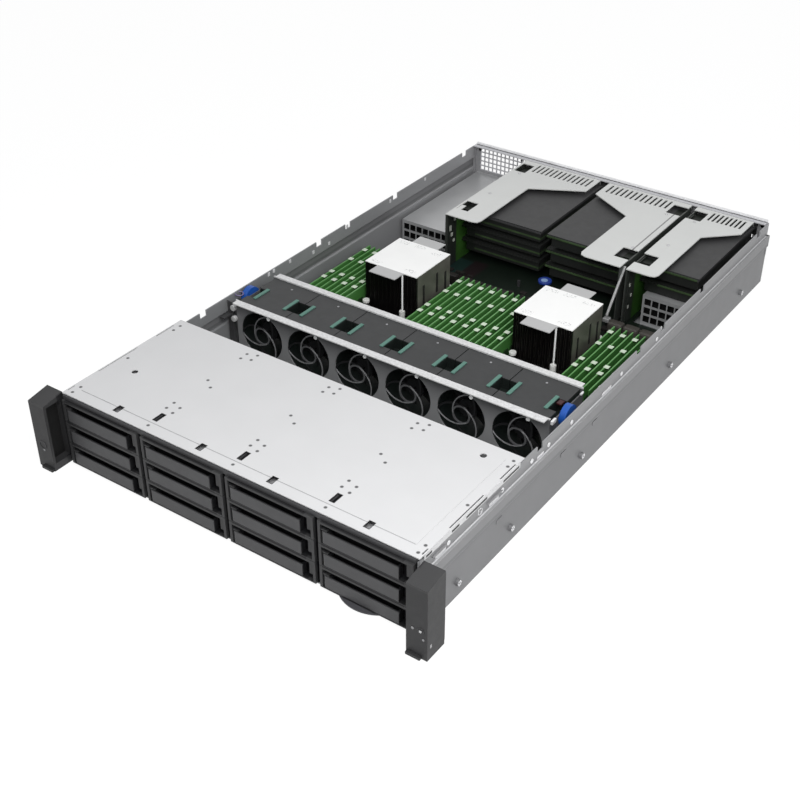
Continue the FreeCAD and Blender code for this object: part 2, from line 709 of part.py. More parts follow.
def make_lid():
    top = "chassis_height"
    sheet_metal = box(
        "lid_sheet", (f"-{LID_HALF}", LID_HALF), (LID_FRONT, LID_BACK), (f"{top} - lid_gauge", top)
    )
    skirts = []
    for side, sign in SIDES:
        skirts.append(box(
            f"lid_skirt_{side}", span_at(sign, f"{UPPER_OUTER} + seat_gap", LID_HALF),
            (f"{LID_FRONT} + skirt_inset", f"{LID_BACK} - skirt_inset"),
            ("wall_top - 2 * lid_gauge", f"{top} - lid_gauge / 2"),
        ))
    through = (f"{top} - 2 * lid_gauge", f"{top} + 1")
    tools = []
    for index, name in enumerate(CLIP_STATIONS):
        middle = f"(({index} - {(COLUMN_COUNT - 1) / 2}) * {COLUMN_PITCH} + {name}_at)"
        tools.append(box(
            f"{name}_opening", (f"{middle} - clip_width / 2", f"{middle} + clip_width / 2"),
            ("clip_inset", "clip_inset + clip_length"), through,
        ))
    for index in range(1, COLUMN_COUNT):
        middle = f"(({index} - {COLUMN_COUNT / 2}) * {COLUMN_PITCH} + key_shift)"
        tools.append(box(
            f"lid_key_{index}", (f"{middle} - key_width / 2", f"{middle} + key_width / 2"),
            ("key_inset", "key_inset + key_length"), through,
        ))
    for index, (start, end) in enumerate(((0.035, 0.088), (0.28, 0.602), (0.766, 0.924))):
        for side, sign in SIDES:
            tools.append(box(
                f"lid_slit_{index}_{side}",
                span_at(sign, f"{LID_HALF} - slit_inset - slit_width", f"{LID_HALF} - slit_inset"),
                (f"{LID_FRONT} + {start} * lid_length", f"{LID_FRONT} + {end} * lid_length"), through,
            ))
    tools.append(cylinder(
        "lid_hole_left", "z", "lid_hole_radius", through,
        x=f"-{LID_HALF} + lid_hole_margin", y=f"{LID_FRONT} + 0.4 * lid_length",
    ))
    tools.append(cylinder(
        "lid_hole_right", "z", "lid_hole_radius", through,
        x=f"{LID_HALF} - lid_hole_margin", y=f"{LID_FRONT} + 0.89 * lid_length",
    ))
    bead = (f"{top} - bead_depth", f"{top} + 1")
    bead_end = f"({LID_HALF} - bead_margin)"
    tools.append(box(
        "lid_bead_front", (f"-{bead_end}", bead_end), ("bead_inset", "bead_inset + bead_width"), bead
    ))
    tools.append(box(
        "lid_bead_right", (bead_end, f"{bead_end} + bead_width"),
        ("bead_inset", f"{LID_BACK} - bead_margin"), bead,
    ))
    node("drive_bay_lid", cut("lid_whole", fuse("lid_folded", sheet_metal, *skirts), *tools))


def make_backplane():
    half = f"({LOWER_INNER} - divider_gauge - 2 * seat_gap)"
    half_top = f"({UPPER_INNER} - seat_gap)"
    board = box(
        "backplane_board", (f"-{half_top}", half_top),
        (BACKPLANE_FRONT, f"{BACKPLANE_FRONT} + backplane_gauge"),
        ("gauge + seat_gap", BACKPLANE_TOP),
    )
    connectors, vents = [], []
    for column in range(COLUMN_COUNT):
        for row in range(ROW_COUNT):
            left = f"(({column} - 2) * {COLUMN_PITCH})"
            middle = f"(({column} - 1.5) * {COLUMN_PITCH})"
            floor = f"(bay_floor + {row} * row_pitch)"
            connector_low = f"({floor} + row_pitch / 6)"
            vent_low = f"({floor} + row_pitch / 2)"
            connectors.append(box(
                f"drive_connector_{column}_{row}",
                (f"{middle} - connector_width / 2", f"{middle} + connector_width / 2"),
                ("carrier_length + seat_gap", f"{BACKPLANE_FRONT} + backplane_gauge / 2"),
                (connector_low, f"{connector_low} + connector_height"),
            ))
            vents.append(box(
                f"backplane_vent_{column}_{row}",
                (f"{left} + {COLUMN_PITCH} / 5", f"{left} + {COLUMN_PITCH} * 4 / 5"),
                (f"{BACKPLANE_FRONT} - 1", f"{BACKPLANE_FRONT} + backplane_gauge + 1"),
                (vent_low, f"{vent_low} + backplane_vent_height"),
            ))
    board_cut = cut("backplane_cut", board, *vents)
    node("drive_backplane", fuse("backplane_whole", board_cut, *connectors))


LEVER_LEFT = f"({CARRIER_LEFT} + bezel_side + lever_gap)"
HINGE_X = f"({CARRIER_LEFT} + bezel_side + lever_gap + lever_thickness / 2)"
HINGE_Y = "(lever_thickness / 2 - face_proud)"
LEVER_RIGHT = f"({CARRIER_RIGHT} - bezel_side - catch_width - catch_gap)"
LEVER_LOW = "(bezel_low + lever_gap)"
LEVER_HIGH = "(bezel_low + lever_gap + lever_height)"


def carrier_master():
    """One carrier with its drive, in its bay's own frame."""
    recess_back = "(bezel_depth - bezel_back)"
    bezel = box(
        "bezel_block", (CARRIER_LEFT, CARRIER_RIGHT), ("-face_proud", "bezel_depth"), ("0", "carrier_height")
    )
    recess = box(
        "bezel_recess", (f"{CARRIER_LEFT} + bezel_side", f"{CARRIER_RIGHT} - bezel_side"),
        ("-face_proud - 1", recess_back), ("bezel_low", "carrier_height - bezel_high"),
    )
    slots = []
    for index in range(BEZEL_SLOT_COUNT):
        low = f"({CARRIER_LEFT} + {index + 1} * ({COLUMN_PITCH} - column_gap) / {BEZEL_SLOT_COUNT + 2})"
        slots.append(box(
            f"bezel_slot_{index}", (low, f"{low} + bezel_slot_width"),
            (f"{recess_back} - 1", "bezel_depth + 1"),
            (f"{LEVER_HIGH} + 1.5", "carrier_height - bezel_high - 1"),
        ))
    frame = cut("bezel_frame", bezel, recess, *slots)
    pin = cylinder(
        "lever_pin", "z", "pin_radius", ("bezel_low - 0.5", f"{LEVER_HIGH} + lever_gap + 1"),
        x=HINGE_X, y=HINGE_Y,
    )
    pin_bridge = box(
        "pin_bridge", (f"{CARRIER_LEFT} + bezel_side / 2", f"{HINGE_X} + 3"),
        (f"{HINGE_Y} - 2.5", f"{recess_back} + 0.5"),
        (f"{LEVER_HIGH} + lever_gap", f"{LEVER_HIGH} + lever_gap + 1.5"),
    )
    catch = box(
        "bezel_catch", (f"{CARRIER_RIGHT} - bezel_side - catch_width", f"{CARRIER_RIGHT} - bezel_side / 2"),
        ("-face_proud + 2", f"{recess_back} + 0.5"),
        ("carrier_height - bezel_high - catch_height", "carrier_height - bezel_high / 2"),
    )
    sled_low = "(guide_rise)"
    sled = box(
        "sled", (f"{CARRIER_LEFT} + sled_inset", f"{CARRIER_RIGHT} - sled_inset"),
        ("bezel_depth - 0.5", "carrier_length"), (sled_low, "carrier_height / 2"),
    )
    sled_relief = box(
        "sled_relief", (f"{CARRIER_LEFT} + sled_inset + 1", f"{CARRIER_RIGHT} - sled_inset - 1"),
        ("bezel_depth", "bezel_depth + 6"), (f"{sled_low} + 1", "carrier_height"),
    )
    drive = box(
        "drive_block", (f"{CARRIER_LEFT} + sled_inset + 1", f"{CARRIER_RIGHT} - sled_inset - 1"),
        ("bezel_depth + 6", "carrier_length"), (f"{sled_low} + 1", "carrier_height - 0.8"),
    )
    sled_open = cut("sled_open", sled, sled_relief)
    return fuse("carrier_master", frame, pin, pin_bridge, catch, sled_open, drive)


def lever_master():
    """One pull lever, in its bay's own frame."""
    bar = box(
        "lever_bar", (HINGE_X, LEVER_RIGHT),
        ("-face_proud", "lever_thickness - face_proud"), (LEVER_LOW, LEVER_HIGH),
    )
    knuckle = cylinder(
        "lever_knuckle", "z", "lever_thickness / 2", (LEVER_LOW, LEVER_HIGH), x=HINGE_X, y=HINGE_Y
    )
    bore = cylinder(
        "lever_bore", "z", "pin_radius + running_gap", (f"{LEVER_LOW} - 1", f"{LEVER_HIGH} + 1"),
        x=HINGE_X, y=HINGE_Y,
    )
    hollow = box(
        "lever_hollow", (f"{HINGE_X} + lever_thickness / 2 + lever_plate", f"{LEVER_RIGHT} - lever_plate"),
        ("lever_plate - face_proud", "lever_thickness - face_proud + 1"),
        (f"{LEVER_LOW} + lever_plate", f"{LEVER_HIGH} + 1"),
    )
    shell = cut("lever_shell", bar, hollow)
    return cut("lever_master", fuse("lever_solid", shell, knuckle), bore)


def make_drives():
    carrier = carrier_master()
    lever = lever_master()
    for column in range(COLUMN_COUNT):
        for row in range(ROW_COUNT):
            left = f"({column} - 2) * {COLUMN_PITCH}"
            floor = f"bay_floor + {row} * row_pitch"
            place_name = f"{column + 1}_{row + 1}"
            node(f"drive_carrier_{place_name}", gather(f"carrier_{place_name}", carrier), left, "0", floor)
            node(f"drive_lever_{place_name}", gather(f"lever_{place_name}", lever), left, "0", floor)


def make_info_tab():
    low = "(gauge + seat_gap)"
    high = f"({low} + tab_gauge)"
    left, right = f"{TAB_CENTRE} - tab_width / 2", f"{TAB_CENTRE} + tab_width / 2"
    arc_radius = "((tab_width ^ 2 / 4 + tab_reach ^ 2) / (2 * tab_reach))"
    tail = box("tab_tail", (left, right), ("0", "tab_length"), (low, high))
    nose_box = box("tab_nose_box", (left, right), ("-tab_reach - 1", "1"), (low, high))
    nose_round = cylinder(
        "tab_nose_round", "z", arc_radius, (low, high), x=TAB_CENTRE, y=f"{arc_radius} - tab_reach"
    )
    node("info_tab", fuse("tab_whole", tail, common("tab_nose", nose_box, nose_round)))


HANDLE_INNER = f"({HALF} + seat_gap)"
BUTTON_X = "(rack_width / 2 - button_inset)"


def handle_solid(side, sign):
    profile = [
        ("-handle_reach", "handle_base"),
        ("-handle_reach", "handle_brow"),
        ("handle_back", "handle_height"),
        ("handle_back", "handle_base"),
    ]
    moulding = padded_body(
        f"handle_moulding_{side}", "YZ_Plane", profile, f"rack_width / 2 - {HANDLE_INNER}"
    )
    place(moulding, x=HANDLE_INNER if sign == "1" else "-rack_width / 2")
    foot = box(
        f"handle_foot_{side}", span_at(sign, f"{HANDLE_INNER} + 1", f"{HANDLE_INNER} + 1 + foot_width"),
        ("-handle_reach - foot_reach", "-handle_reach + 1"), ("handle_base", "handle_base + foot_height"),
    )
    flange = box(
        f"handle_flange_{side}", span_at(sign, HANDLE_INNER, "rack_width / 2 - 1"),
        ("handle_back", "handle_back + flange_gauge"), ("handle_base + 3", "handle_height - 4"),
    )
    bracket = box(
        f"handle_bracket_{side}", span_at(sign, HANDLE_INNER, f"{HANDLE_INNER} + flange_gauge"),
        ("handle_back", "handle_back + 14"), ("jog_height + jog_rise + 1", "ledge_height - 1"),
    )
    grip = box(
        f"handle_grip_{side}", span_at(sign, f"{HANDLE_INNER} - 1", f"{HANDLE_INNER} + grip_recess"),
        ("-handle_reach + grip_rim", "handle_back - grip_rim"), ("grip_low", "handle_brow - grip_rim"),
    )
    screw_hole = cylinder(
        f"handle_hole_{side}", "y", "rack_hole_radius", ("handle_back - 9", "handle_back + flange_gauge + 1"),
        x=f"{sign} * (rack_width / 2 - rack_hole_inset)", z="rack_hole_height",
    )
    return fuse(f"handle_solid_{side}", moulding, foot, flange, bracket), [grip, screw_hole]


def make_handles():
    left_solid, left_tools = handle_solid("left", "-1")
    node("rack_handle_left", cut("handle_left_whole", left_solid, *left_tools))
    right_solid, right_tools = handle_solid("right", "1")
    button_length = "(button_proud + button_travel + 2)"
    pocket = cylinder(
        "button_pocket", "y", "button_radius + running_gap",
        ("-handle_reach - 1", f"-handle_reach - button_proud + {button_length} + button_travel + seat_gap"),
        x=BUTTON_X, z="button_height",
    )
    node("rack_handle_right", cut("handle_right_whole", right_solid, *right_tools, pocket))
    button = cylinder("button_solid", "y", "button_radius", ("0", button_length))
    front = "-handle_reach - button_proud"
    node("power_button", gather("button_group", button), BUTTON_X, front, "button_height")


FAN_FRONT = f"({CAGE_FRONT} + cage_gauge + seat_gap)"
FAN_BACK = f"({CAGE_BACK} - cage_gauge - seat_gap)"
FAN_LOW = "(gauge + cage_gauge + 2 * seat_gap)"
CAGE_HALF = f"({HALF} - fan_margin + cage_gauge + fan_gap)"
CAGE_LOW = "(gauge + seat_gap)"


def fan_middle(index):
    return f"({index} - {(FAN_COUNT - 1) / 2}) * {FAN_PITCH}"


def guard_spoke(turn_degrees):
    """One curved guard wire: an arc that leaves the ring along it and ends past the opening's rim."""
    rim = f"({FAN_BORE} + opening_margin)"
    offset = f"(({rim} ^ 2 - guard_ring ^ 2) / ({rim} + 2 * guard_ring))"
    radius = f"(guard_ring + {offset})"
    sweep = f"acos(({offset} ^ 2 + {radius} ^ 2 - ({rim} + guard_wire) ^ 2) / (2 * {offset} * {radius}))"
    sectors = []
    for name, half_width in (("outer", "guard_wire / 2"), ("inner", "-guard_wire / 2")):
        sector = doc.addObject("Part::Cylinder", f"spoke_{name}_{turn_degrees}")
        bind(sector, Radius=f"{radius} + {half_width}", Height="cage_gauge", Angle=sweep)
        sectors.append(sector)
    arc = cut(f"spoke_arc_{turn_degrees}", *sectors)
    arc.Placement = FreeCAD.Placement(FreeCAD.Vector(), FreeCAD.Rotation(FreeCAD.Vector(0, 0, 1), 180))
    place(arc, x=offset)
    standing = FreeCAD.Rotation(FreeCAD.Vector(1, 0, 0), 90)
    spin = FreeCAD.Rotation(FreeCAD.Vector(0, 1, 0), turn_degrees)
    return copy(f"spoke_{turn_degrees}", arc, y="cage_gauge", turn=spin.multiply(standing))


def guard_master():
    """The finger guard of one fan opening: a ring held by three curved wires."""
    ring = cut(
        "guard_ring_wire",
        cylinder("guard_ring_outer", "y", "guard_ring + guard_wire / 2", ("0", "cage_gauge")),
        cylinder("guard_ring_inner", "y", "guard_ring - guard_wire / 2", ("-1", "cage_gauge + 1")),
    )
    return fuse("guard_master", ring, *[guard_spoke(angle) for angle in (-6, 114, 234)])


def cage_wall(name, wall, flange, guarded):
    """One folded wall of the fan cage, open at each fan."""
    half = f"({HALF} - fan_margin)"
    pieces = [
        box(f"cage_{name}_wall", (f"-{CAGE_HALF}", CAGE_HALF), wall, (CAGE_LOW, "cage_height")),
        box(f"cage_{name}_flange", (f"-{half}", half), flange, ("cage_height - cage_gauge", "cage_height")),
    ]
    openings = []
    for index in range(FAN_COUNT):
        openings.append(cylinder(
            f"cage_{name}_opening_{index}", "y", f"{FAN_BORE} + opening_margin",
            (f"{wall[0]} - 1", f"{wall[1]} + 1"), x=fan_middle(index), z="fan_axis_height",
        ))
    opened = cut(f"cage_{name}_opened", fuse(f"cage_{name}_sheet", *pieces), *openings)
    if not guarded:
        return opened
    guard = guard_master()
    guards = [
        copy(f"guard_{index}", guard, fan_middle(index), wall[0], "fan_axis_height")
        for index in range(FAN_COUNT)
    ]
    return fuse(f"cage_{name}_guarded", opened, *guards)


def make_fan_cage():
    front = (CAGE_FRONT, f"({CAGE_FRONT} + cage_gauge)")
    rear = (f"({CAGE_BACK} - cage_gauge)", CAGE_BACK)
    node("fan_cage_front", cage_wall(
        "front", front, (f"{CAGE_FRONT} - front_flange_width", front[1]), True
    ))
    node("fan_cage_rear", cage_wall("rear", rear, (rear[0], f"{CAGE_BACK} + rear_flange_width"), False))
    pieces = [box(
        "cage_floor_sheet", (f"-{CAGE_HALF}", CAGE_HALF), (front[1], rear[0]),
        (CAGE_LOW, f"{CAGE_LOW} + cage_gauge"),
    )]
    for side, sign in SIDES:
        pieces.append(box(
            f"cage_end_{side}", span_at(sign, f"{CAGE_HALF} - cage_gauge", CAGE_HALF),
            (front[1], rear[0]), (CAGE_LOW, "cage_height - 5 * cage_gauge"),
        ))
        pieces.append(cylinder(
            f"knob_pin_{side}", "x", "knob_pin_radius",
            span_at(sign, f"{CAGE_HALF} - cage_gauge / 2", f"{CAGE_HALF} + knob_thickness + 2 * seat_gap"),
            y=KNOB_Y, z="pivot_height",
        ))
    node("fan_cage_base", fuse("cage_base_sheet", *pieces))
    for side, sign in SIDES:
        span = span_at(sign, f"{CAGE_HALF} + seat_gap", f"{CAGE_HALF} + seat_gap + knob_thickness")
        round_end = cylinder(f"knob_round_{side}", "x", "knob_radius", span, y=KNOB_Y, z="knob_height")
        stem = box(
            f"knob_stem_{side}", span, (f"{KNOB_Y} - knob_radius * 0.6", f"{KNOB_Y} + knob_radius * 0.6"),
            ("pivot_height - 2.5 * knob_pin_radius", "knob_height"),
        )
        bore = cylinder(
            f"knob_bore_{side}", "x", "knob_pin_radius + running_gap",
            (f"({span[0]}) - 1", f"({span[1]}) + 1"), y=KNOB_Y, z="pivot_height",
        )
        lever = cut(f"knob_whole_{side}", fuse(f"knob_solid_{side}", round_end, stem), bore)
        node(f"cage_lever_{side}", lever)


def fan_master():
    """One fan housing about its own shaft plane, front face at zero."""
    length = f"({FAN_BACK} - {FAN_FRONT})"
    half = f"({FAN_WIDTH} / 2)"
    block = box("fan_block", (f"-{half}", half), ("0", length), (FAN_LOW, "fan_height"))
    duct = cylinder("fan_duct", "y", FAN_BORE, ("-1", f"{length} + 1"), z="fan_axis_height")
    grip_middle = "grip_inset"
    pockets, grips = [], []
    for side, sign in SIDES:
        pockets.append(box(
            f"fan_pocket_{side}", span_at(sign, f"{half} - pocket_width", f"{half} + 1"),
            (f"{grip_middle} - pocket_length / 2", f"{grip_middle} + pocket_length / 2"),
            ("fan_height - pocket_depth", "fan_height + 1"),
        ))
        grips.append(box(
            f"fan_grip_{side}",
            span_at(sign, f"{half} - pocket_width - grip_width", f"{half} - pocket_width"),
            (f"{grip_middle} - grip_length / 2", f"{grip_middle} + grip_length / 2"),
            ("fan_height - 1", "fan_height + grip_rise"),
        ))
    shell = cut("fan_shell", block, duct, *pockets)
    motor = cylinder(
        "fan_motor", "y", "motor_radius", (f"{length} - motor_length", length), z="fan_axis_height"
    )
    shaft = cylinder(
        "fan_shaft", "y", "shaft_radius", ("hub_inset + 4", f"{length} - motor_length / 2"),
        z="fan_axis_height",
    )
    struts = []
    for name, across, up in (
        ("level", f"{FAN_BORE} + 1", "strut_width / 2"), ("upright", "strut_width / 2", f"{FAN_BORE} + 1")
    ):
        struts.append(box(
            f"motor_strut_{name}", (f"-({across})", across), (f"{length} - 4", length),
            (f"fan_axis_height - ({up})", f"fan_axis_height + {up}"),
        ))
    return fuse("fan_master", shell, motor, shaft, *struts, *grips)


def impeller_master():
    """One impeller about its own shaft: a hub with lofted, twisted blades."""
    body = doc.addObject("PartDesign::Body", "impeller_master")
    disc = new_sketch(body, "hub_disc", "XZ_Plane")
    draw_circle(disc, "0", "0", "motor_radius")
    draw_circle(disc, "0", "0", "shaft_radius + running_gap")
    pad(body, disc, "hub_length", reverse=True)
    sections = []
    for name, radius, run, rise in (
        ("root", "blade_root_radius", "hub_length * 0.15", "hub_length * 0.8"),
        ("tip", BLADE_TIP, "hub_length * 0.25", "hub_length * 0.55"),
    ):
        section = new_sketch(body, f"blade_{name}", "XY_Plane", lift=radius)
        middle = "(hub_length / 2)"
        draw_outline(section, [
            (f"-{run}", f"{middle} - ({rise}) / 2"),
            (f"-{run} + blade_thickness", f"{middle} - ({rise}) / 2"),
            (run, f"{middle} + ({rise}) / 2"),
            (f"{run} - blade_thickness", f"{middle} + ({rise}) / 2"),
        ])
        sections.append(section)
    blade = body.newObject("PartDesign::AdditiveLoft", "blade_loft")
    blade.Profile = sections[0]
    blade.Sections = [sections[1]]
    blade.Ruled = True
    doc.recompute()
    wheel = body.newObject("PartDesign::PolarPattern", "blade_pattern")
    wheel.Originals = [blade]
    wheel.Axis = (origin_plane(body, "Y_Axis"), [""])
    wheel.Occurrences = BLADE_COUNT
    body.Tip = wheel
    return body


def make_fans():
    housing = fan_master()
    impeller = impeller_master()
    for index in range(FAN_COUNT):
        number = index + 1
        node(f"fan_{number}", gather(f"fan_housing_{number}", housing), fan_middle(index), FAN_FRONT, "0")
        node(
            f"impeller_{number}", gather(f"fan_impeller_{number}", impeller),
            fan_middle(index), f"{FAN_FRONT} + hub_inset", "fan_axis_height",
        )


def make_mainboard():
    outline = [
        (f"-{BOARD_HALF}", BOARD_FRONT),
        (BOARD_HALF, BOARD_FRONT),
        (BOARD_HALF, WING_BACK),
        (BOARD_NECK, WING_BACK),
        (BOARD_NECK, BOARD_BACK),
        (f"-{BOARD_NECK}", BOARD_BACK),
        (f"-{BOARD_NECK}", WING_BACK),
        (f"-{BOARD_HALF}", WING_BACK),
    ]
    board = padded_body("board_sheet", "XY_Plane", outline, "board_gauge")
    place(board, z="board_lift")
    additions = []
    for name, middle in PROCESSORS.items():
        additions.append(box(
            f"processor_{name}", (f"{middle} - socket_width / 2", f"{middle} + socket_width / 2"),
            (f"{PROCESSOR_Y} - socket_length / 2", f"{PROCESSOR_Y} + socket_length / 2"),
            (f"{BOARD_TOP} - 0.5", f"{BOARD_TOP} + socket_rise"),
        ))
    for index in range(PORT_COUNT):
        low = f"(-{BOARD_NECK} + port_inset + {index} * {PORT_PITCH})"
        additions.append(box(
            f"port_{index}", (f"{low} + port_gap", f"{low} + port_width - port_gap"),
            (f"{BOARD_BACK} - port_length", "chassis_depth - gauge / 2"),
            (f"{BOARD_TOP} - port_gap", f"{BOARD_TOP} + port_height - port_gap"),
        ))
    node("mainboard", fuse("board_whole", board, *additions))


def slot_positions():
    for middle in PROCESSORS.values():
        for sign in ("-", "+"):
            for index in range(SLOTS_PER_BANK):
                yield f"{middle} {sign} {BANK_OFFSET} + ({index} - {(SLOTS_PER_BANK - 1) / 2}) * {SLOT_PITCH}"


def make_memory():
    half = "(slot_width / 2)"
    channel = "(module_gauge / 2 + seat_gap / 2)"
    base = box("slot_base", (f"-{half}", half), ("-slot_length / 2", "slot_length / 2"), ("0", "slot_height"))
    latches = []
    for name, sign in (("front", "-1"), ("back", "1")):
        low, high = "module_length / 2 + seat_gap", "module_length / 2 + seat_gap + latch_length"
        latches.append(box(
            f"slot_latch_{name}", (f"-{half}", half), span_at(sign, low, high),
            ("slot_height / 9", "latch_height"),
        ))
    groove = box(
        "slot_groove", (f"-{channel}", channel),
        ("-module_length / 2 - seat_gap", "module_length / 2 + seat_gap"),
        ("slot_floor_height - seat_gap", "slot_height + 1"),
    )
    socket = cut("slot_master", fuse("slot_solid", base, *latches), groove)
    module = box(
        "module_master", ("-module_gauge / 2", "module_gauge / 2"),
        ("-module_length / 2", "module_length / 2"),
        ("slot_floor_height", "slot_floor_height + module_height"),
    )
    for name, source in (("memory_sockets", socket), ("memory_modules", module)):
        copies = [
            copy(f"{name}_{index}", source, position, MEMORY_Y, BOARD_TOP)
            for index, position in enumerate(slot_positions())
        ]
        node(name, gather(f"{name}_group", *copies))


def make_heatsinks():
    seat = f"({BOARD_TOP} + socket_rise)"
    half = "(sink_width / 2)"
    base_top = f"({seat} + sink_base_gauge)"
    pieces = [box(
        "sink_base", (f"-{half}", half), ("-sink_base_length / 2", "sink_base_length / 2"), (seat, base_top)
    )]
    for index in range(FIN_COUNT):
        low = f"(-{half} + {index} * (sink_width - fin_gauge) / {FIN_COUNT - 1})"
        pieces.append(box(
            f"fin_{index}", (low, f"{low} + fin_gauge"), ("-sink_length / 2", "sink_length / 2"),
            (f"{base_top} - 0.5", "sink_height"),
        ))
    for index, (across, along) in enumerate(((-1, -1), (1, -1), (1, 1), (-1, 1))):
        pieces.append(cylinder(
            f"sink_nut_{index}", "z", "nut_radius", (f"{base_top} - 0.5", f"{base_top} + nut_height"),
            x=f"{across} * ({half} - nut_radius - 1)", y=f"{along} * (sink_base_length / 2 - nut_radius - 1)",
        ))
    sink = fuse("sink_master", *pieces)
    plate = box(
        "cover_plate", (f"-{half}", half), ("-sink_length / 2", "sink_length / 2"), ("0", "cover_gauge")
    )
    tabs = box(
        "cover_tabs", ("-lift_tab_width / 2", "lift_tab_width / 2"),
        ("-sink_length / 2 - lift_tab_length", "sink_length / 2 + lift_tab_length"), ("0", "cover_gauge"),
    )
    rod = cylinder(
        "cover_rod", "z", "rod_radius", (f"{base_top} + seat_gap - sink_height", "cover_gauge / 2"),
        x="rod_offset", y="-sink_length / 2 - rod_radius - seat_gap",
    )
    rod_lug = box(
        "rod_lug", ("rod_offset - rod_radius - 1", "rod_offset + rod_radius + 1"),
        ("-sink_length / 2 - 2 * rod_radius - 2 * seat_gap", "-sink_length / 2 + 1"), ("0", "cover_gauge"),
    )
    cover = fuse("cover_master", plate, tabs, rod, rod_lug)
    for name, source, height in (("heatsinks", sink, "0"), ("heatsink_covers", cover, "sink_height")):
        copies = [
            copy(f"{name}_{side}", source, middle, PROCESSOR_Y, height) for side, middle in PROCESSORS.items()
        ]
        node(name, gather(f"{name}_group", *copies))


def riser_cover(name):
    """A folded cover: top with a narrow and a wide part, side leg and rear fold."""
    spine, neck, head, vents = RISERS[name]
    outward = name != "middle"
    inwards = "-" if outward else "+"
    outline = [
        (spine, RISER_FRONT),
        (f"{neck} {inwards} cover_round", RISER_FRONT),
        (f"{neck} {inwards} cover_round * 0.29", f"{RISER_FRONT} + cover_round * 0.29"),
        (neck, f"{RISER_FRONT} + cover_round"),
        (neck, f"{RISER_BACK} - shoulder_length"),
        (head, f"{RISER_BACK} - head_length"),
        (head, RISER_BACK),
        (spine, RISER_BACK),
    ]
    top = padded_body(f"riser_top_{name}", "XY_Plane", outline, "riser_gauge")
    place(top, z="riser_height - riser_gauge")

    def across(low, high):
        """A span measured from the side leg towards the wide part."""
        if outward:
            return f"{spine} + {low}", f"{spine} + {high}"
        return f"{spine} - {high}", f"{spine} - {low}"

    leg = box(
        f"riser_leg_{name}", across("0", "riser_gauge"), (RISER_FRONT, RISER_BACK),
        (f"{BOARD_TOP} + seat_gap", "riser_height - riser_gauge / 2"),
    )
    fold = box(
        f"riser_fold_{name}", (spine, head) if outward else (head, spine),
        (f"{RISER_BACK} - riser_gauge", RISER_BACK),
        ("riser_height - 5 * riser_gauge", "riser_height - riser_gauge / 2"),
    )
    through = ("riser_height - 2 * riser_gauge", "riser_height + 1")
    window_edge = "2 * riser_gauge" if name == "left" else "-1"
    tools = []
    for place_name, start in (
        ("front", f"{RISER_FRONT} + window_front_inset"), ("rear", f"{RISER_BACK} - window_rear_inset")
    ):
        tools.append(box(
            f"riser_window_{place_name}_{name}",
            across(window_edge, "(2 * riser_gauge + window_width)"),
            (start, f"{start} + window_length"), through,
        ))
    width = f"({head} - {spine})" if outward else f"({spine} - {head})"
    room = f"({width} - window_width - vent_width - 2 * vent_margin)"
    for index in range(vents):
        low = f"(window_width + vent_margin + {index} * {room} / {vents - 1})"
        tools.append(box(
            f"riser_vent_{name}_{index}", across(low, f"({low} + vent_width)"),
            (f"{RISER_BACK} - vent_inset", f"{RISER_BACK} - vent_inset + vent_length"), through,
        ))
    return cut(f"riser_whole_{name}", fuse(f"riser_sheet_{name}", top, leg, fold), *tools)


def make_risers():
    node("riser_covers", gather("riser_cover_group", *[riser_cover(name) for name in RISERS]))
    boards = []
    for name, (spine, neck, head, vents) in RISERS.items():
        near, far = "riser_gauge + seat_gap", "riser_gauge + seat_gap + riser_board_gauge"
        boards.append(box(
            f"riser_board_{name}",
            (f"{spine} - ({far})", f"{spine} - ({near})") if name == "middle"
            else (f"{spine} + {near}", f"{spine} + {far}"),
            (f"{RISER_FRONT} + riser_board_inset", f"{RISER_BACK} - 4 * riser_board_inset"),
            (f"{BOARD_TOP} + seat_gap", "riser_height - 3 * riser_gauge"),
        ))
    node("riser_boards", gather("riser_board_group", *boards))


def make_cards():
    inset = "(riser_gauge + 2 * seat_gap + riser_board_gauge)"
    cards = []
    for name, low, high, count in (
        ("left", f"{RISERS['left'][0]} + {inset}", LEFT_CARDS, 3),
        ("middle", MIDDLE_CARDS, f"{RISERS['middle'][0]} - {inset}", 3),
        ("right", f"{RISERS['right'][0]} + {inset}", RIGHT_CARDS, 2),
    ):
        for index in range(count):
            plane = f"(card_height - {index} * card_pitch)"
            label = f"{name}_{index}"
            board = box(
                f"card_board_{label}", (low, high),
                (f"{CARD_FRONT} - card_board_gauge", "chassis_depth - gauge - 1.5 * seat_gap"),
                (plane, f"{plane} + card_board_gauge"),
            )
            backplate = box(
                f"card_backplate_{label}", (low, high), (CARD_FRONT, f"{RISER_BACK} - 3"),
                (f"{plane} + card_board_gauge", f"{plane} + card_board_gauge + card_back_gauge"),
            )
            body = box(
                f"card_body_{label}", (f"{low} + 6", f"{high} - 1"),
                (f"{CARD_FRONT} + 1", f"{RISER_BACK} - 3"),
                (f"{plane} - card_body_height", plane),
            )
            bracket = box(
                f"card_bracket_{label}", (f"{low} + 1", high),
                ("chassis_depth - gauge - seat_gap - bracket_gauge", "chassis_depth - gauge - seat_gap"),
                (f"{plane} - card_body_height", f"{plane} + card_board_gauge + card_back_gauge"),
            )
            cards.append(fuse(f"card_{label}", board, backplate, body, bracket))
    node("expansion_cards", gather("card_group", *cards))


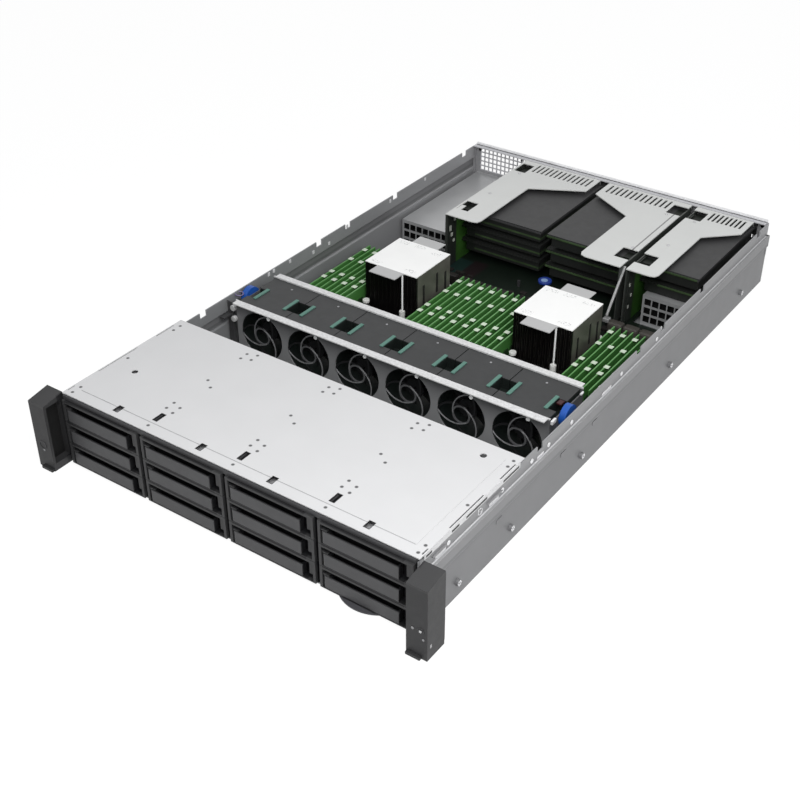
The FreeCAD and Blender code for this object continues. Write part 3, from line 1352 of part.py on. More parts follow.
def supply_master():
    """One power supply, inner end at zero, centred across."""
    half = "(supply_width / 2)"
    fan_middle_x = f"-{half} + supply_fan_radius + supply_fan_margin"
    case = box("supply_case", (f"-{half}", half), ("0", "supply_length"), ("0", "supply_height"))
    tools = []
    for column in range(7):
        for row in range(3):
            low = f"(({column} - 3) * grille_pitch - grille_hole / 2)"
            bottom = f"(supply_height / 2 + ({row} - 1) * grille_rise - grille_hole / 2)"
            tools.append(box(
                f"grille_{column}_{row}", (low, f"{low} + grille_hole"), ("-1", "grille_depth"),
                (bottom, f"{bottom} + grille_hole"),
            ))
    tools.append(cylinder(
        "supply_fan_recess", "y", "supply_fan_radius", ("supply_length - grille_depth", "supply_length + 1"),
        x=fan_middle_x, z="supply_height / 2",
    ))
    tools.append(box(
        "supply_inlet", (f"{half} - inlet_margin - inlet_width", f"{half} - inlet_margin"),
        ("supply_length - inlet_depth", "supply_length + 1"),
        ("supply_height / 2 + inlet_margin - inlet_height", "supply_height / 2 + inlet_margin"),
    ))
    shell = cut("supply_shell", case, *tools)
    hub = cylinder(
        "supply_fan_hub", "y", "supply_hub_radius", ("supply_length - grille_depth - 1", "supply_length - 1"),
        x=fan_middle_x, z="supply_height / 2",
    )
    bar = "supply_handle_bar"
    left, right = "(-supply_handle_bar * 1.2)", f"({half} - inlet_margin)"
    level = ("supply_height - supply_handle_drop", f"supply_height - supply_handle_drop + {bar}")
    end = "supply_length + supply_handle_reach"
    arms = []
    for name, low in (("near", left), ("far", f"({right} - {bar})")):
        arms.append(box(f"supply_arm_{name}", (low, f"{low} + {bar}"), ("supply_length - 1", end), level))
    grip = box("supply_grip", (left, right), (f"{end} - {bar}", end), level)
    return fuse("supply_master", shell, hub, grip, *arms)


def make_supplies():
    supply = supply_master()
    for side, sign in SIDES:
        middle = f"{sign} * ({SUPPLY_OUTER} - supply_width / 2)"
        node(
            f"power_supply_{side}", gather(f"supply_{side}", supply),
            middle, "chassis_depth - supply_length", "gauge + seat_gap",
        )


def check_and_write():
    doc.recompute()
    for thing in doc.Objects:
        if "Invalid" in thing.State or "Error" in thing.State:
            raise RuntimeError(f"{thing.Label} did not build: {thing.State}")
    for solid in NODES:
        if solid.Shape.isNull() or not solid.Shape.isValid():
            raise RuntimeError(f"{solid.Label} has no valid shape")
    os.makedirs("parts", exist_ok=True)
    for solid in NODES:
        solid.Shape.exportStep(f"parts/{solid.Label}.step")
        print(solid.Label, len(solid.Shape.Solids), round(solid.Shape.Volume, 1))


fill_sheet()
make_chassis_tray()
make_rear_panel()
make_drive_cage()
make_lid()
make_backplane()
make_drives()
make_info_tab()
make_handles()
make_fan_cage()
make_fans()
make_mainboard()
make_memory()
make_heatsinks()
make_risers()
make_cards()
make_supplies()
check_and_write()
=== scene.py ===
import math
import random

import bmesh
import bpy
from bpy.props import FloatProperty, FloatVectorProperty, IntProperty, PointerProperty
from mathutils import Matrix, Vector


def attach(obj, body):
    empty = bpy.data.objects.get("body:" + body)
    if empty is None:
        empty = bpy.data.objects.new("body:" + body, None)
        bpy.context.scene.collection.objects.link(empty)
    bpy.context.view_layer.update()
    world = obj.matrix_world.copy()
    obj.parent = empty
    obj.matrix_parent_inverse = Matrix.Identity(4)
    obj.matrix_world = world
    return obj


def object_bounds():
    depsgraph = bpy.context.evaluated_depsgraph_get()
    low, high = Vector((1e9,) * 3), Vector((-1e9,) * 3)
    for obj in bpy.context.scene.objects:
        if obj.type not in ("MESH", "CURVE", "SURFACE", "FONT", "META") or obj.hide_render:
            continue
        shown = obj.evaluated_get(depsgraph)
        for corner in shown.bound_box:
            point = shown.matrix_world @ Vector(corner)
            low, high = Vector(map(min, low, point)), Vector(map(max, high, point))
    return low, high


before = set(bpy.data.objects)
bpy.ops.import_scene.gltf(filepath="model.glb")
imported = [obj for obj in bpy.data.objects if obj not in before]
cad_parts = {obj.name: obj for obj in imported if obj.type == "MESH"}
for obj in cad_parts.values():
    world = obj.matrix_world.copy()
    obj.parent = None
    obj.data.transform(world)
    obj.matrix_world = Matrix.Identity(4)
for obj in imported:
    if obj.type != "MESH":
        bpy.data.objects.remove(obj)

bl_info = {
    "name": "Rack server dresser",
    "version": (1, 0, 0),
    "blender": (4, 5, 0),
    "location": "View3D > Sidebar > Server",
    "description": "Finishes and small fittings for an open two-unit rack server",
    "category": "Object",
}

CAD_LOW, CAD_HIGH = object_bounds()

# Millimetres: x from the case's middle, y rearward from the drive front plane, z from the floor.
MM = 0.001
HANDLE_REACH = 25.0
FRONT = CAD_LOW.y / MM + HANDLE_REACH

SIDES = (("left", -1), ("right", 1))
COLUMNS = range(1, 5)
ROWS = range(1, 4)
FANS = range(1, 7)

COLUMN_PITCH = 108.0
ROW_PITCH = 26.2
BAY_FLOOR = 3.2
CARRIER_LEFT = -213.5
CARRIER_RIM = 1.9
LID_MIDDLE = 1.8
LID_CLIPS = (-149.0, -40.0, 47.0, 156.0)
LID_KEYS = (-106.2, 1.8, 109.8)

LOWER_WALL = 217.2
UPPER_WALL = 215.3
LEDGE_UNDER = 65.6
LEDGE_TOP = 66.4
STUD_HEIGHT = 18.0

FAN_PITCH = 66.7
FAN_AXIS = 46.0
GUARD_RING = 10.0
GUARD_RIM = 28.8

BOARD_TOP = 7.6
BANKS = (-176.2, -33.8, 29.3, 171.7)
MODULES_PER_BANK = 8
MODULE_TOP = 41.25
MODULE_MIDDLE = 434.0
SLOT_PITCH = 7.75
SINKS = (-105.0, 100.5)

CARD_PLANE = 74.4
CARD_PITCH = 20.32
CARD_LAYERS = 3
SUPPLY_MIDDLE = 175.55
SUPPLY_BACK = 769.0

# The turn that lays the z axis along each axis.
TURNS = {
    "x": Matrix.Rotation(math.radians(90), 4, "Y"),
    "y": Matrix.Rotation(math.radians(-90), 4, "X"),
    "z": Matrix.Identity(4),
}

# Shades laid over finishes. Many are painted shade or painted light; the comments where they are laid say
# which.
SHADES = {
    "wall band light": (0.2, 0.201, 0.206),
    "wall crease shadow": (0.15, 0.151, 0.156),
    "upper wall light": (0.25, 0.25, 0.256),
    "ledge": (0.31, 0.31, 0.315),
    "fold highlight": (0.6, 0.6, 0.61),
    "inner jog light": (0.52, 0.52, 0.53),
    "rear mesh": (0.56, 0.56, 0.58),
    "cover fold": (0.045, 0.05, 0.045),
    "cover slot shade": (0.2, 0.2, 0.2),
    "spot weld": (0.03, 0.03, 0.032),
    "lid bead shade": (0.4, 0.4, 0.405),
    "lid opening shade": (0.012, 0.012, 0.013),
    "carrier gap shade": (0.011, 0.011, 0.012),
    "carrier depth shade": (0.006, 0.006, 0.007),
    "drive case": (0.30, 0.30, 0.31),
    "lever back shade": (0.01, 0.01, 0.011),
    "handle inner shade": (0.008, 0.008, 0.008),
    "handle front shade": (0.022, 0.022, 0.023),
    "handle rim": (0.014, 0.014, 0.015),
    "handle dash": (0.3, 0.3, 0.3),
    "button middle": (0.5, 0.5, 0.5),
    "fan body shade": (0.007, 0.010, 0.009),
    "lower plate": (0.25, 0.25, 0.256),
    "guard opening shade": (0.008, 0.008, 0.009),
    "cage ring": (0.1, 0.1, 0.104),
    "cage flange light": (0.6, 0.6, 0.605),
    "module edge": (0.13, 0.33, 0.11),
    "sink front": (0.008, 0.007, 0.007),
    "lift tab": (0.46, 0.46, 0.46),
    "pressed mark": (0.55, 0.55, 0.55),
    "teal patch": (0.010, 0.024, 0.022),
    "plum patch": (0.014, 0.009, 0.010),
    "riser front": (0.018, 0.021, 0.018),
    "card side": (0.012, 0.013, 0.012),
    "card edge": (0.036, 0.062, 0.026),
    "under window": (0.008, 0.01, 0.008),
    "supply mouth": (0.01, 0.01, 0.01),
    "supply handle": (0.03, 0.03, 0.032),
}


def colour_property(name, value, description):
    return FloatVectorProperty(
        name=name, description=description, subtype="COLOR", size=3, min=0.0, max=1.0, default=value
    )


class ServerColours(bpy.types.PropertyGroup):
    """Colours of the server's finishes."""

    lid: colour_property("Lid", (0.57, 0.57, 0.576), "Light coated sheet of the drive bay lid")
    cover: colour_property("Riser cover", (0.635, 0.642, 0.63), "Coated sheet of the riser covers")
    # The tray's sheet is darker at its front and lighter at its rear: a painted light gradient.
    tray: colour_property("Tray", (0.25, 0.255, 0.262), "Zinc-coated sheet of the tray at its front")
    tray_rear: colour_property("Tray rear", (0.33, 0.33, 0.34), "The same sheet at its rear")
    # The outer walls are the tray's own sheet in a darker copy: painted shade.
    wall: colour_property("Outer wall", (0.168, 0.169, 0.174), "Outer faces of the tray's side walls")
    cage: colour_property("Bay cage", (0.03, 0.03, 0.032), "Dark sheet around the drive bays")
    carrier: colour_property("Carrier", (0.03, 0.03, 0.031), "Moulded drive carriers")
    lever: colour_property("Lever", (0.052, 0.052, 0.054), "Pull levers of the carriers")
    handle: colour_property("Handle", (0.031, 0.031, 0.032), "Moulded rack handles")
    # The plate's colour under its flanges, in painted shadow; lower down it turns to the lower plate
    # shade.
    fan_plate_shadow: colour_property("Fan plate", (0.115, 0.115, 0.12), "Front plate of the fan cage")
    fan_top: colour_property("Fan top", (0.03, 0.031, 0.032), "Moulded tops of the fans")
    teal: colour_property("Finger grip", (0.085, 0.19, 0.155), "Finger grips of the fans")
    blue: colour_property("Release lever", (0.012, 0.075, 0.34), "Release levers of the fan cage")
    board: colour_property("Mainboard", (0.006, 0.010, 0.007), "Mainboard lacquer")
    module: colour_property("Memory", (0.06, 0.2, 0.045), "Memory board lacquer")
    riser: colour_property("Riser", (0.028, 0.085, 0.014), "Riser board lacquer")
    card: colour_property("Card plate", (0.036, 0.036, 0.037), "Plates over the expansion cards")
    tag: colour_property("Tag", (0.62, 0.72, 0.58), "Bare paper tags")
    white: colour_property("White plastic", (0.92, 0.92, 0.91), "Heatsink covers")


class ServerSizes(bpy.types.PropertyGroup):
    """Sizes of the small fittings."""

    screw_radius: FloatProperty(
        name="Screw head", description="Radius of a cover screw's head", default=2.0 * MM, unit="LENGTH"
    )
    tag_width: FloatProperty(
        name="Tag width", description="Width of a paper tag on a memory board", default=6.0 * MM,
        unit="LENGTH",
    )
    chips_per_side: IntProperty(
        name="Chips", description="Memory chips on one side of a board", default=9, min=1, max=18
    )


def at(x, y, z):
    """A point given in millimetres from the drive front plane."""
    return Vector((x * MM, (y + FRONT) * MM, z * MM))


def add_object(name, data):
    made = bpy.data.objects.new(name, data)
    bpy.context.scene.collection.objects.link(made)
    return made


def around(middle, half):
    """The span that reaches half to both sides of a middle."""
    return middle - half, middle + half


def beside(sign, near, far):
    """The span from near to far on the left (-1) or right (1) side, low end first."""
    return sorted((sign * near, sign * far))


def fan_middle(number):
    return (number - 3.5) * FAN_PITCH


def edges_of(vertices):
    return list(dict.fromkeys(edge for vertex in vertices for edge in vertex.link_edges))


class Form:
    """A mesh put together from simple solids, in millimetres."""

    def __init__(self):
        self.mesh = bmesh.new()

    def soften(self, edges, size):
        bmesh.ops.bevel(
            self.mesh, geom=edges, offset=size * MM, offset_type="OFFSET", segments=2,
            profile=0.5, affect="EDGES", material=-1, clamp_overlap=True,
        )

    def block(self, x, y, z, bevel=0.0, lean=0.0):
        """A box; lean turns it about its middle, in degrees, its top towards the rear."""
        low, high = at(x[0], y[0], z[0]), at(x[1], y[1], z[1])
        centre = (low + high) / 2
        made = bmesh.ops.create_cube(
            self.mesh, size=1.0,
            matrix=Matrix.Translation(centre) @ Matrix.Diagonal((*(high - low), 1.0)),
        )
        if lean:
            turn = Matrix.Rotation(math.radians(-lean), 3, "X")
            bmesh.ops.rotate(self.mesh, verts=made["verts"], cent=centre, matrix=turn)
        if bevel:
            self.soften(edges_of(made["verts"]), bevel)

    def rod(self, axis, start, radius, length, sides=16, bevel=0.0):
        """A cylinder from the middle of its first end, along an axis."""
        move = Matrix.Translation(at(*start)) @ TURNS[axis] @ Matrix.Translation((0, 0, length * MM / 2))
        made = bmesh.ops.create_cone(
            self.mesh, cap_ends=True, segments=sides, radius1=radius * MM, radius2=radius * MM,
            depth=length * MM, matrix=move,
        )
        if bevel:
            rims = [
                edge for edge in edges_of(made["verts"])
                if any(len(face.verts) > 4 for face in edge.link_faces)
            ]
            self.soften(rims, bevel)

    def ring(self, axis, centre, radius, wire, sides=28, start=0.0, sweep=360.0):
        """A round wire ring or arc about an axis, spun from a small circle."""
        turn = TURNS[axis]
        begin = Matrix.Translation(at(*centre)) @ turn @ Matrix.Rotation(math.radians(start), 4, "Z")
        upright = Matrix.Translation((radius * MM, 0, 0)) @ Matrix.Rotation(math.radians(90), 4, "X")
        section = bmesh.ops.create_circle(
            self.mesh, cap_ends=False, segments=8, radius=wire * MM, matrix=begin @ upright
        )
        bmesh.ops.spin(
            self.mesh, geom=section["verts"] + edges_of(section["verts"]), cent=at(*centre),
            axis=turn.to_3x3() @ Vector((0, 0, 1)), angle=math.radians(sweep), steps=sides,
            use_merge=sweep == 360.0,
        )
        ends = [edge for edge in self.mesh.edges if edge.is_boundary]
        bmesh.ops.holes_fill(self.mesh, edges=ends, sides=8)
        bmesh.ops.recalc_face_normals(self.mesh, faces=self.mesh.faces[:])

    def place(self, name, body, finish, slot, smooth=False):
        """Make the form an object that rides on a body."""
        data = bpy.data.meshes.new(name)
        self.mesh.to_mesh(data)
        self.mesh.free()
        if smooth:
            data.shade_smooth()
        piece = add_object(name, data)
        data.materials.append(finish.material)
        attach(piece, body)


class Finish:
    """A procedural material built up in layers on a Principled shader."""

    def __init__(self, name, roughness=0.5, metal=0.0, specular=0.5):
        self.material = bpy.data.materials.new(name)
        self.material.use_nodes = True
        self.tree = self.material.node_tree
        self.tree.nodes.clear()
        self.output = self.add("ShaderNodeOutputMaterial")
        self.shader = self.add("ShaderNodeBsdfPrincipled")
        self.shader.inputs["Roughness"].default_value = roughness
        self.shader.inputs["Metallic"].default_value = metal
        self.shader.inputs["Specular IOR Level"].default_value = specular
        self.link(self.shader.outputs["BSDF"], self.output.inputs["Surface"])
        self.place = self.add("ShaderNodeTexCoord").outputs["Object"]
        split = self.add("ShaderNodeSeparateXYZ")
        self.link(self.place, split.inputs[0])
        self.across, self.along, self.up = split.outputs

    def add(self, kind, **values):
        made = self.tree.nodes.new(kind)
        for name, value in values.items():
            setattr(made, name, value)
        return made

    def link(self, source, target):
        self.tree.links.new(source, target)

    def math(self, operation, *values):
        made = self.add("ShaderNodeMath", operation=operation)
        for socket, value in zip(made.inputs, values):
            if isinstance(value, (int, float)):
                socket.default_value = value
            else:
                self.link(value, socket)
        return made.outputs[0]

    def both(self, first, *others):
        """1 where every mask is 1."""
        for mask in others:
            first = self.math("MULTIPLY", first, mask)
        return first

    def either(self, first, *others):
        """1 where any mask is 1."""
        for mask in others:
            first = self.math("MAXIMUM", first, mask)
        return first

    def beyond(self, socket, limit):
        """1 where a coordinate in metres is past a value in millimetres."""
        return self.math("GREATER_THAN", socket, limit * MM)

    def between(self, socket, low, high):
        """1 where a coordinate in metres lies between two values in millimetres."""
        return self.math("COMPARE", socket, (low + high) / 2 * MM, (high - low) / 2 * MM)

    def inside(self, x=None, y=None, z=None):
        """1 inside a box given in millimetres from the drive front plane."""
        masks = []
        if x:
            masks.append(self.between(self.across, *x))
        if y:
            masks.append(self.between(self.along, y[0] + FRONT, y[1] + FRONT))
        if z:
            masks.append(self.between(self.up, *z))
        return self.both(*masks)

    def spans(self, socket, spans, shift=0.0):
        """1 inside any of the spans along one axis."""
        return self.either(*[self.between(socket, low + shift, high + shift) for low, high in spans])

    def from_middle(self, socket, middle, pitch):
        """Signed distance from the nearest of a row of middles."""
        shifted = self.math("SUBTRACT", socket, (middle - pitch / 2) * MM)
        return self.math("SUBTRACT", self.math("FLOORED_MODULO", shifted, pitch * MM), pitch / 2 * MM)

    def spots(self, across, spots, core=1.3, rim=2.1):
        """Soft round spots about points on a flat top."""
        flat = self.add("ShaderNodeCombineXYZ")
        self.link(across, flat.inputs["X"])
        self.link(self.along, flat.inputs["Y"])
        masks = []
        for x, y in spots:
            distance = self.add("ShaderNodeVectorMath", operation="DISTANCE")
            self.link(flat.outputs[0], distance.inputs[0])
            distance.inputs[1].default_value = (x * MM, (y + FRONT) * MM, 0.0)
            masks.append(self.ramp(distance.outputs["Value"], core * MM, rim * MM, 0.9, 0.0))
        return self.either(*masks)

    def ramp(self, socket, low, high, first=0.0, last=1.0):
        """A value that goes from first to last while a socket goes from low to high."""
        steps = self.add("ShaderNodeMapRange")
        for name, value in (("From Min", low), ("From Max", high), ("To Min", first), ("To Max", last)):
            steps.inputs[name].default_value = value
        self.link(socket, steps.inputs["Value"])
        return steps.outputs["Result"]

    def noise(self, scale, detail, stretch=(1.0, 1.0, 1.0)):
        mapping = self.add("ShaderNodeMapping")
        mapping.inputs["Scale"].default_value = stretch
        self.link(self.place, mapping.inputs["Vector"])
        texture = self.add("ShaderNodeTexNoise")
        texture.inputs["Scale"].default_value = scale
        texture.inputs["Detail"].default_value = detail
        self.link(mapping.outputs["Vector"], texture.inputs["Vector"])
        return texture.outputs["Fac"]

    def blend(self, factor, first, second):
        """Mix two colours, each a colour or a socket."""
        made = self.add("ShaderNodeMix", data_type="RGBA", clamp_factor=True)
        self.link(factor, made.inputs["Factor"])
        for socket, value in ((made.inputs[6], first), (made.inputs[7], second)):
            if isinstance(value, bpy.types.NodeSocket):
                self.link(value, socket)
            else:
                socket.default_value = (*value, 1.0)
        return made.outputs[2]

    def mottle(self, colour, spread, scale):
        """A colour that wanders a little lighter and darker."""
        dark = [channel * (1.0 - spread) for channel in colour]
        light = [min(1.0, channel * (1.0 + spread)) for channel in colour]
        return self.blend(self.ramp(self.noise(scale, 4.0), 0.3, 0.7), dark, light)

    def paint(self, colour):
        self.link(colour, self.shader.inputs["Base Color"])

    def over(self, mask, colour):
        """Lay a colour, or the shade of that name, over the last one where the mask is 1."""
        last = self.shader.inputs["Base Color"].links[0].from_socket
        self.paint(self.blend(mask, last, SHADES[colour] if isinstance(colour, str) else colour))

    def patch(self, colour, x=None, y=None, z=None):
        """Lay a colour or shade over a box, given as for inside."""
        self.over(self.inside(x, y, z), colour)

    def rough(self, low, high, scale):
        self.link(self.ramp(self.noise(scale, 4.0), 0.0, 1.0, low, high), self.shader.inputs["Roughness"])

    def grain(self, scale, distance, strength):
        bump = self.add("ShaderNodeBump")
        bump.inputs["Strength"].default_value = strength
        bump.inputs["Distance"].default_value = distance * MM
        self.link(self.noise(scale, 2.0), bump.inputs["Height"])
        self.link(bump.outputs["Normal"], self.shader.inputs["Normal"])


def moulded(name, colour, roughness=0.5, spread=0.06, grain=1500.0):
    """Moulded plastic, resin or lacquer with a fine grain."""
    finish = Finish(name, roughness, specular=0.3)
    finish.paint(finish.mottle(colour, spread, 35.0))
    finish.rough(roughness - 0.07, roughness + 0.1, 120.0)
    finish.grain(grain, 0.05, 0.35)
    return finish


def rolled_sheet(name, colour, metal=0.1, roughness=0.4, spread=0.03):
    """Rolled and coated sheet metal."""
    finish = Finish(name, roughness, metal)
    finish.paint(finish.mottle(colour, spread, 30.0))
    finish.rough(roughness - 0.05, roughness + 0.07, 60.0)
    finish.grain(1200.0, 0.02, 0.2)
    return finish


def dress(finish, *nodes):
    """Give CAD nodes a finish."""
    for name in nodes:
        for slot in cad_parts[name].material_slots:
            slot.material = finish.material


class ServerOperator:
    bl_options = {"REGISTER", "UNDO"}

    @property
    def colours(self):
        return bpy.context.scene.server_colours

    @property
    def sizes(self):
        return bpy.context.scene.server_sizes


class SERVER_OT_stage(ServerOperator, bpy.types.Operator):
    """Floor, world, lamps and camera"""

    bl_idname = "server.stage"
    bl_label = "Stage"

    # Name, place, aim, size and power, in metres and watts.
    LAMPS = (
        ("key", (0.5, -0.7, 0.85), (0.15, -0.3, 0.0), 0.7, 10.5),
        ("top", (0.2, 0.5, 2.6), (0.1, 0.1, 0.0), 2.2, 10.0),
        ("side", (2.2, 0.1, 0.9), (0.2, 0.0, 0.0), 1.2, 6.0),
    )
    FLOOR_HALF = 9.0
    FLOOR_DROP = 0.0003
    FLOOR_GLOW = 1.05
    GLOW_SHARE = 0.88
    # Mix input, colour and strength, first as a light and then to the eye.
    SKIES = ((1, (0.97, 0.985, 1.0), 0.42), (2, (1.0, 1.0, 1.0), 1.0))
    CAMERA_PLACE = (666.991, -659.046, 797.673)
    CAMERA_RIGHT = Vector((0.81638932, 0.5774919, -0.00340186))
    CAMERA_DOWN = Vector((0.32481424, -0.46403837, -0.82411413))
    CAMERA_FORWARD = Vector((-0.47749783, 0.67169301, -0.56641356))
    CAMERA_LENS = 57.227

    def execute(self, context):
        self.lay_floor()
        self.light_world()
        self.hang_lamps()
        self.set_camera()
        context.scene.view_settings.view_transform = "Standard"
        return {"FINISHED"}

    @staticmethod
    def seen_rays(tree):
        """1 for rays that reach the eye directly, by a reflection or through a gap."""
        rays = tree.nodes.new("ShaderNodeLightPath")
        total = rays.outputs["Is Camera Ray"]
        for name in ("Is Glossy Ray", "Is Transmission Ray"):
            add = tree.nodes.new("ShaderNodeMath")
            add.operation = "MAXIMUM"
            tree.links.new(total, add.inputs[0])
            tree.links.new(rays.outputs[name], add.inputs[1])
            total = add.outputs[0]
        return total

    def lay_floor(self):
        """A pale floor that glows to the eye and still takes the shadow."""
        mesh = bmesh.new()
        bmesh.ops.create_grid(mesh, x_segments=1, y_segments=1, size=self.FLOOR_HALF)
        bmesh.ops.translate(mesh, verts=mesh.verts[:], vec=(0, 0, -self.FLOOR_DROP))
        data = bpy.data.meshes.new("floor")
        mesh.to_mesh(data)
        mesh.free()
        floor = add_object("floor", data)
        finish = Finish("pale_floor", 0.9, specular=0.0)
        finish.paint(finish.mottle((0.93, 0.93, 0.93), 0.01, 2.0))
        glow = finish.add("ShaderNodeEmission")
        glow.inputs["Strength"].default_value = self.FLOOR_GLOW
        mix = finish.add("ShaderNodeMixShader")
        share = finish.math("MULTIPLY", self.seen_rays(finish.tree), self.GLOW_SHARE)
        finish.link(share, mix.inputs["Fac"])
        finish.link(finish.shader.outputs["BSDF"], mix.inputs[1])
        finish.link(glow.outputs["Emission"], mix.inputs[2])
        finish.link(mix.outputs["Shader"], finish.output.inputs["Surface"])
        data.materials.append(finish.material)

    def light_world(self):
        """White to the eye, dimmer and a little cool as a light."""
        world = bpy.data.worlds.new("studio")
        bpy.context.scene.world = world
        world.use_nodes = True
        tree = world.node_tree
        tree.nodes.clear()
        mix = tree.nodes.new("ShaderNodeMixShader")
        tree.links.new(self.seen_rays(tree), mix.inputs["Fac"])
        for index, colour, strength in self.SKIES:
            sky = tree.nodes.new("ShaderNodeBackground")
            sky.inputs["Color"].default_value = (*colour, 1.0)
            sky.inputs["Strength"].default_value = strength
            tree.links.new(sky.outputs[0], mix.inputs[index])
        output = tree.nodes.new("ShaderNodeOutputWorld")
        tree.links.new(mix.outputs[0], output.inputs["Surface"])

    def hang_lamps(self):
        for name, spot, aim, size, power in self.LAMPS:
            data = bpy.data.lights.new(name, "AREA")
            data.size = size
            data.energy = power
            lamp = add_object(name, data)
            lamp.location = spot
            lamp.rotation_euler = (Vector(aim) - Vector(spot)).to_track_quat("-Z", "Y").to_euler()

    def set_camera(self):
        data = bpy.data.cameras.new("camera")
        data.sensor_width = 36.0
        data.lens = self.CAMERA_LENS
        data.clip_end = 60.0
        camera = add_object("camera", data)
        axes = (self.CAMERA_RIGHT, -self.CAMERA_DOWN, -self.CAMERA_FORWARD)
        turn = Matrix(axes).transposed().to_4x4()
        camera.matrix_world = Matrix.Translation(at(*self.CAMERA_PLACE)) @ turn
        bpy.context.scene.camera = camera


class SERVER_OT_sheet_metal(ServerOperator, bpy.types.Operator):
    """Tray, rear panel, lid, riser covers and their marks and screws"""

    bl_idname = "server.sheet_metal"
    bl_label = "Sheet metal"

    # Spot welds of the lid, the first list from each column's middle.
    LID_WELDS = (
        *((-5.5, y) for y in (161.5, 151.5, 101.5, 52.4, 41.8)),
        *((5.5, y) for y in (165.5, 155.3, 93, 49.1, 38.8)),
        (0.5, 10.3),
    )
    EDGE_WELDS = tuple((x, y) for x in (-208, 210.9) for y in (163, 152.6, 84.7, 19.1, 8))
    SKIRT_SLITS = ((11.5, 20.5), (51, 63), (74, 108.5), (136, 164))
    # Marks of the side walls: y, or y and z.
    WALL_PRESSINGS = ((130, 42), (250, 45), (315, 45))
    RAIL_STUDS = (60, 152, 290, 497, 697)
    TOP_HOOKS = ((317, 79), (326, 79.5), (356, 79), (400, 72), (431, 71), (468, 79), (560, 77), (640, 78))
    LEDGE_SLOTS = ((27, 43), (114, 130), (200, 212), (330, 350))
    LEDGE_RIVETS = (47, 136, 189, 221, 266, 372, 455)
    COVER_SCREWS = ((-112, 640), (-112, 715), (108, 610), (102, 715), (140, 640), (140, 715))
    PANEL_SCREWS = (-208, -140, -125, 122, 128, 208)
    PANEL_SCREW_HEIGHT = 76.0

    def execute(self, context):
        tray = self.tray_finish()
        dress(tray, "chassis_tray")
        dress(self.rear_finish(), "rear_panel")
        dress(self.lid_finish(), "drive_bay_lid")
        cover = self.cover_finish()
        dress(cover, "riser_covers")
        self.window_tab(cover)
        self.wall_marks(tray)
        self.cover_screws()
        self.strut()
        self.rear_rim()
        return {"FINISHED"}

    def zinc(self, name):
        """Zinc-coated sheet, lighter towards the rear with painted light."""
        finish = rolled_sheet(name, self.colours.tray, metal=0.25, roughness=0.45)
        rearward_light = finish.ramp(finish.along, (FRONT + 180) * MM, (FRONT + 770) * MM)
        # Painted light: the sheet lightens towards the rear.
        finish.over(rearward_light, self.colours.tray_rear)
        return finish

    def tray_finish(self):
        """Zinc sheet; the outer walls and their crease in painted shade, and a band on the walls, their
        part above the ledge, the ledge, its fold and the jog inside in painted light.
        """
        finish = self.zinc("zinc_sheet")
        reach = finish.math("ABSOLUTE", finish.across)
        outer = finish.beyond(reach, LOWER_WALL)
        upper = finish.beyond(reach, UPPER_WALL)
        ledge = finish.both(upper, finish.between(finish.up, LEDGE_UNDER, LEDGE_TOP))
        inner = finish.math("SUBTRACT", 1, outer)
        jog = finish.both(inner, finish.inside(x=(-230, -205), y=(400, 766), z=(51, 63.5)))
        # Painted shade: the outer faces in the darker wall colour.
        finish.over(outer, finish.mottle(self.colours.wall, 0.03, 30))
        # Painted light: a lighter band on the outer walls below the ledge.
        finish.over(finish.both(outer, finish.between(finish.up, 55, LEDGE_UNDER)), "wall band light")
        # Painted shadow: a dark line under the walls' outward jog.
        finish.over(finish.both(outer, finish.between(finish.up, 52.5, 54.6)), "wall crease shadow")
        # Painted light: the walls above the ledge lighter.
        finish.over(finish.both(upper, finish.between(finish.up, LEDGE_TOP, 82.2)), "upper wall light")
        # Painted light: the ledge's top lighter.
        finish.over(ledge, "ledge")
        # Painted light: a lighter band on the inner left wall, in place of the shade under its jog.
        finish.over(jog, "inner jog light")
        # Painted highlight: a bright line along the ledge's fold.
        finish.over(finish.both(ledge, finish.between(reach, UPPER_WALL, 216.6)), "fold highlight")
        return finish

    def rear_finish(self):
        """Zinc sheet with its mesh and its top rim brighter."""
        finish = self.zinc("rear_sheet")
        mesh = finish.inside(x=(-207, -139), z=(46, 81))
        rim = finish.between(finish.up, 81.9, 84)
        finish.over(finish.either(mesh, rim), "rear mesh")
        return finish

    def cover_finish(self):
        """Light top with painted shade along one thin slot, and the folds below it in painted shade."""
        finish = rolled_sheet("coated_sheet", self.colours.cover, roughness=0.45, spread=0.02)
        # Painted shade: a darker line where a thin slot runs along the top.
        finish.patch("cover slot shade", x=(109.2, 111), y=(598, 727))
        finish.patch("cover fold", y=(540, 756), z=(0, 82.9))
        return finish

    def lid_finish(self):
        """Coated sheet with spot welds, painted shade along a pressed line, and painted shade in its
        slits and openings.
        """
        finish = rolled_sheet("lid_sheet", self.colours.lid, roughness=0.45, spread=0.012)
        local = finish.from_middle(finish.across, LID_MIDDLE, COLUMN_PITCH)
        middle = finish.between(finish.across, -150, 150)
        welds = finish.both(finish.spots(local, self.LID_WELDS), middle)
        finish.over(finish.either(welds, finish.spots(finish.across, self.EDGE_WELDS)), "spot weld")
        # Painted shade: a darker line along the pressed bead.
        finish.patch("lid bead shade", x=(-203, 203), y=(14.9, 16))
        skirt = finish.beyond(finish.math("ABSOLUTE", finish.across), 216.1)
        slits = finish.spans(finish.along, self.SKIRT_SLITS, FRONT)
        slits = finish.both(slits, skirt, finish.between(finish.up, 81, 83.6))
        clips = finish.spans(finish.across, [around(x, 3.6) for x in LID_CLIPS])
        clips = finish.both(clips, finish.inside(y=(8.2, 18.8)))
        keys = finish.spans(finish.across, [around(x, 3.2) for x in LID_KEYS])
        keys = finish.both(keys, finish.inside(y=(19, 33)))
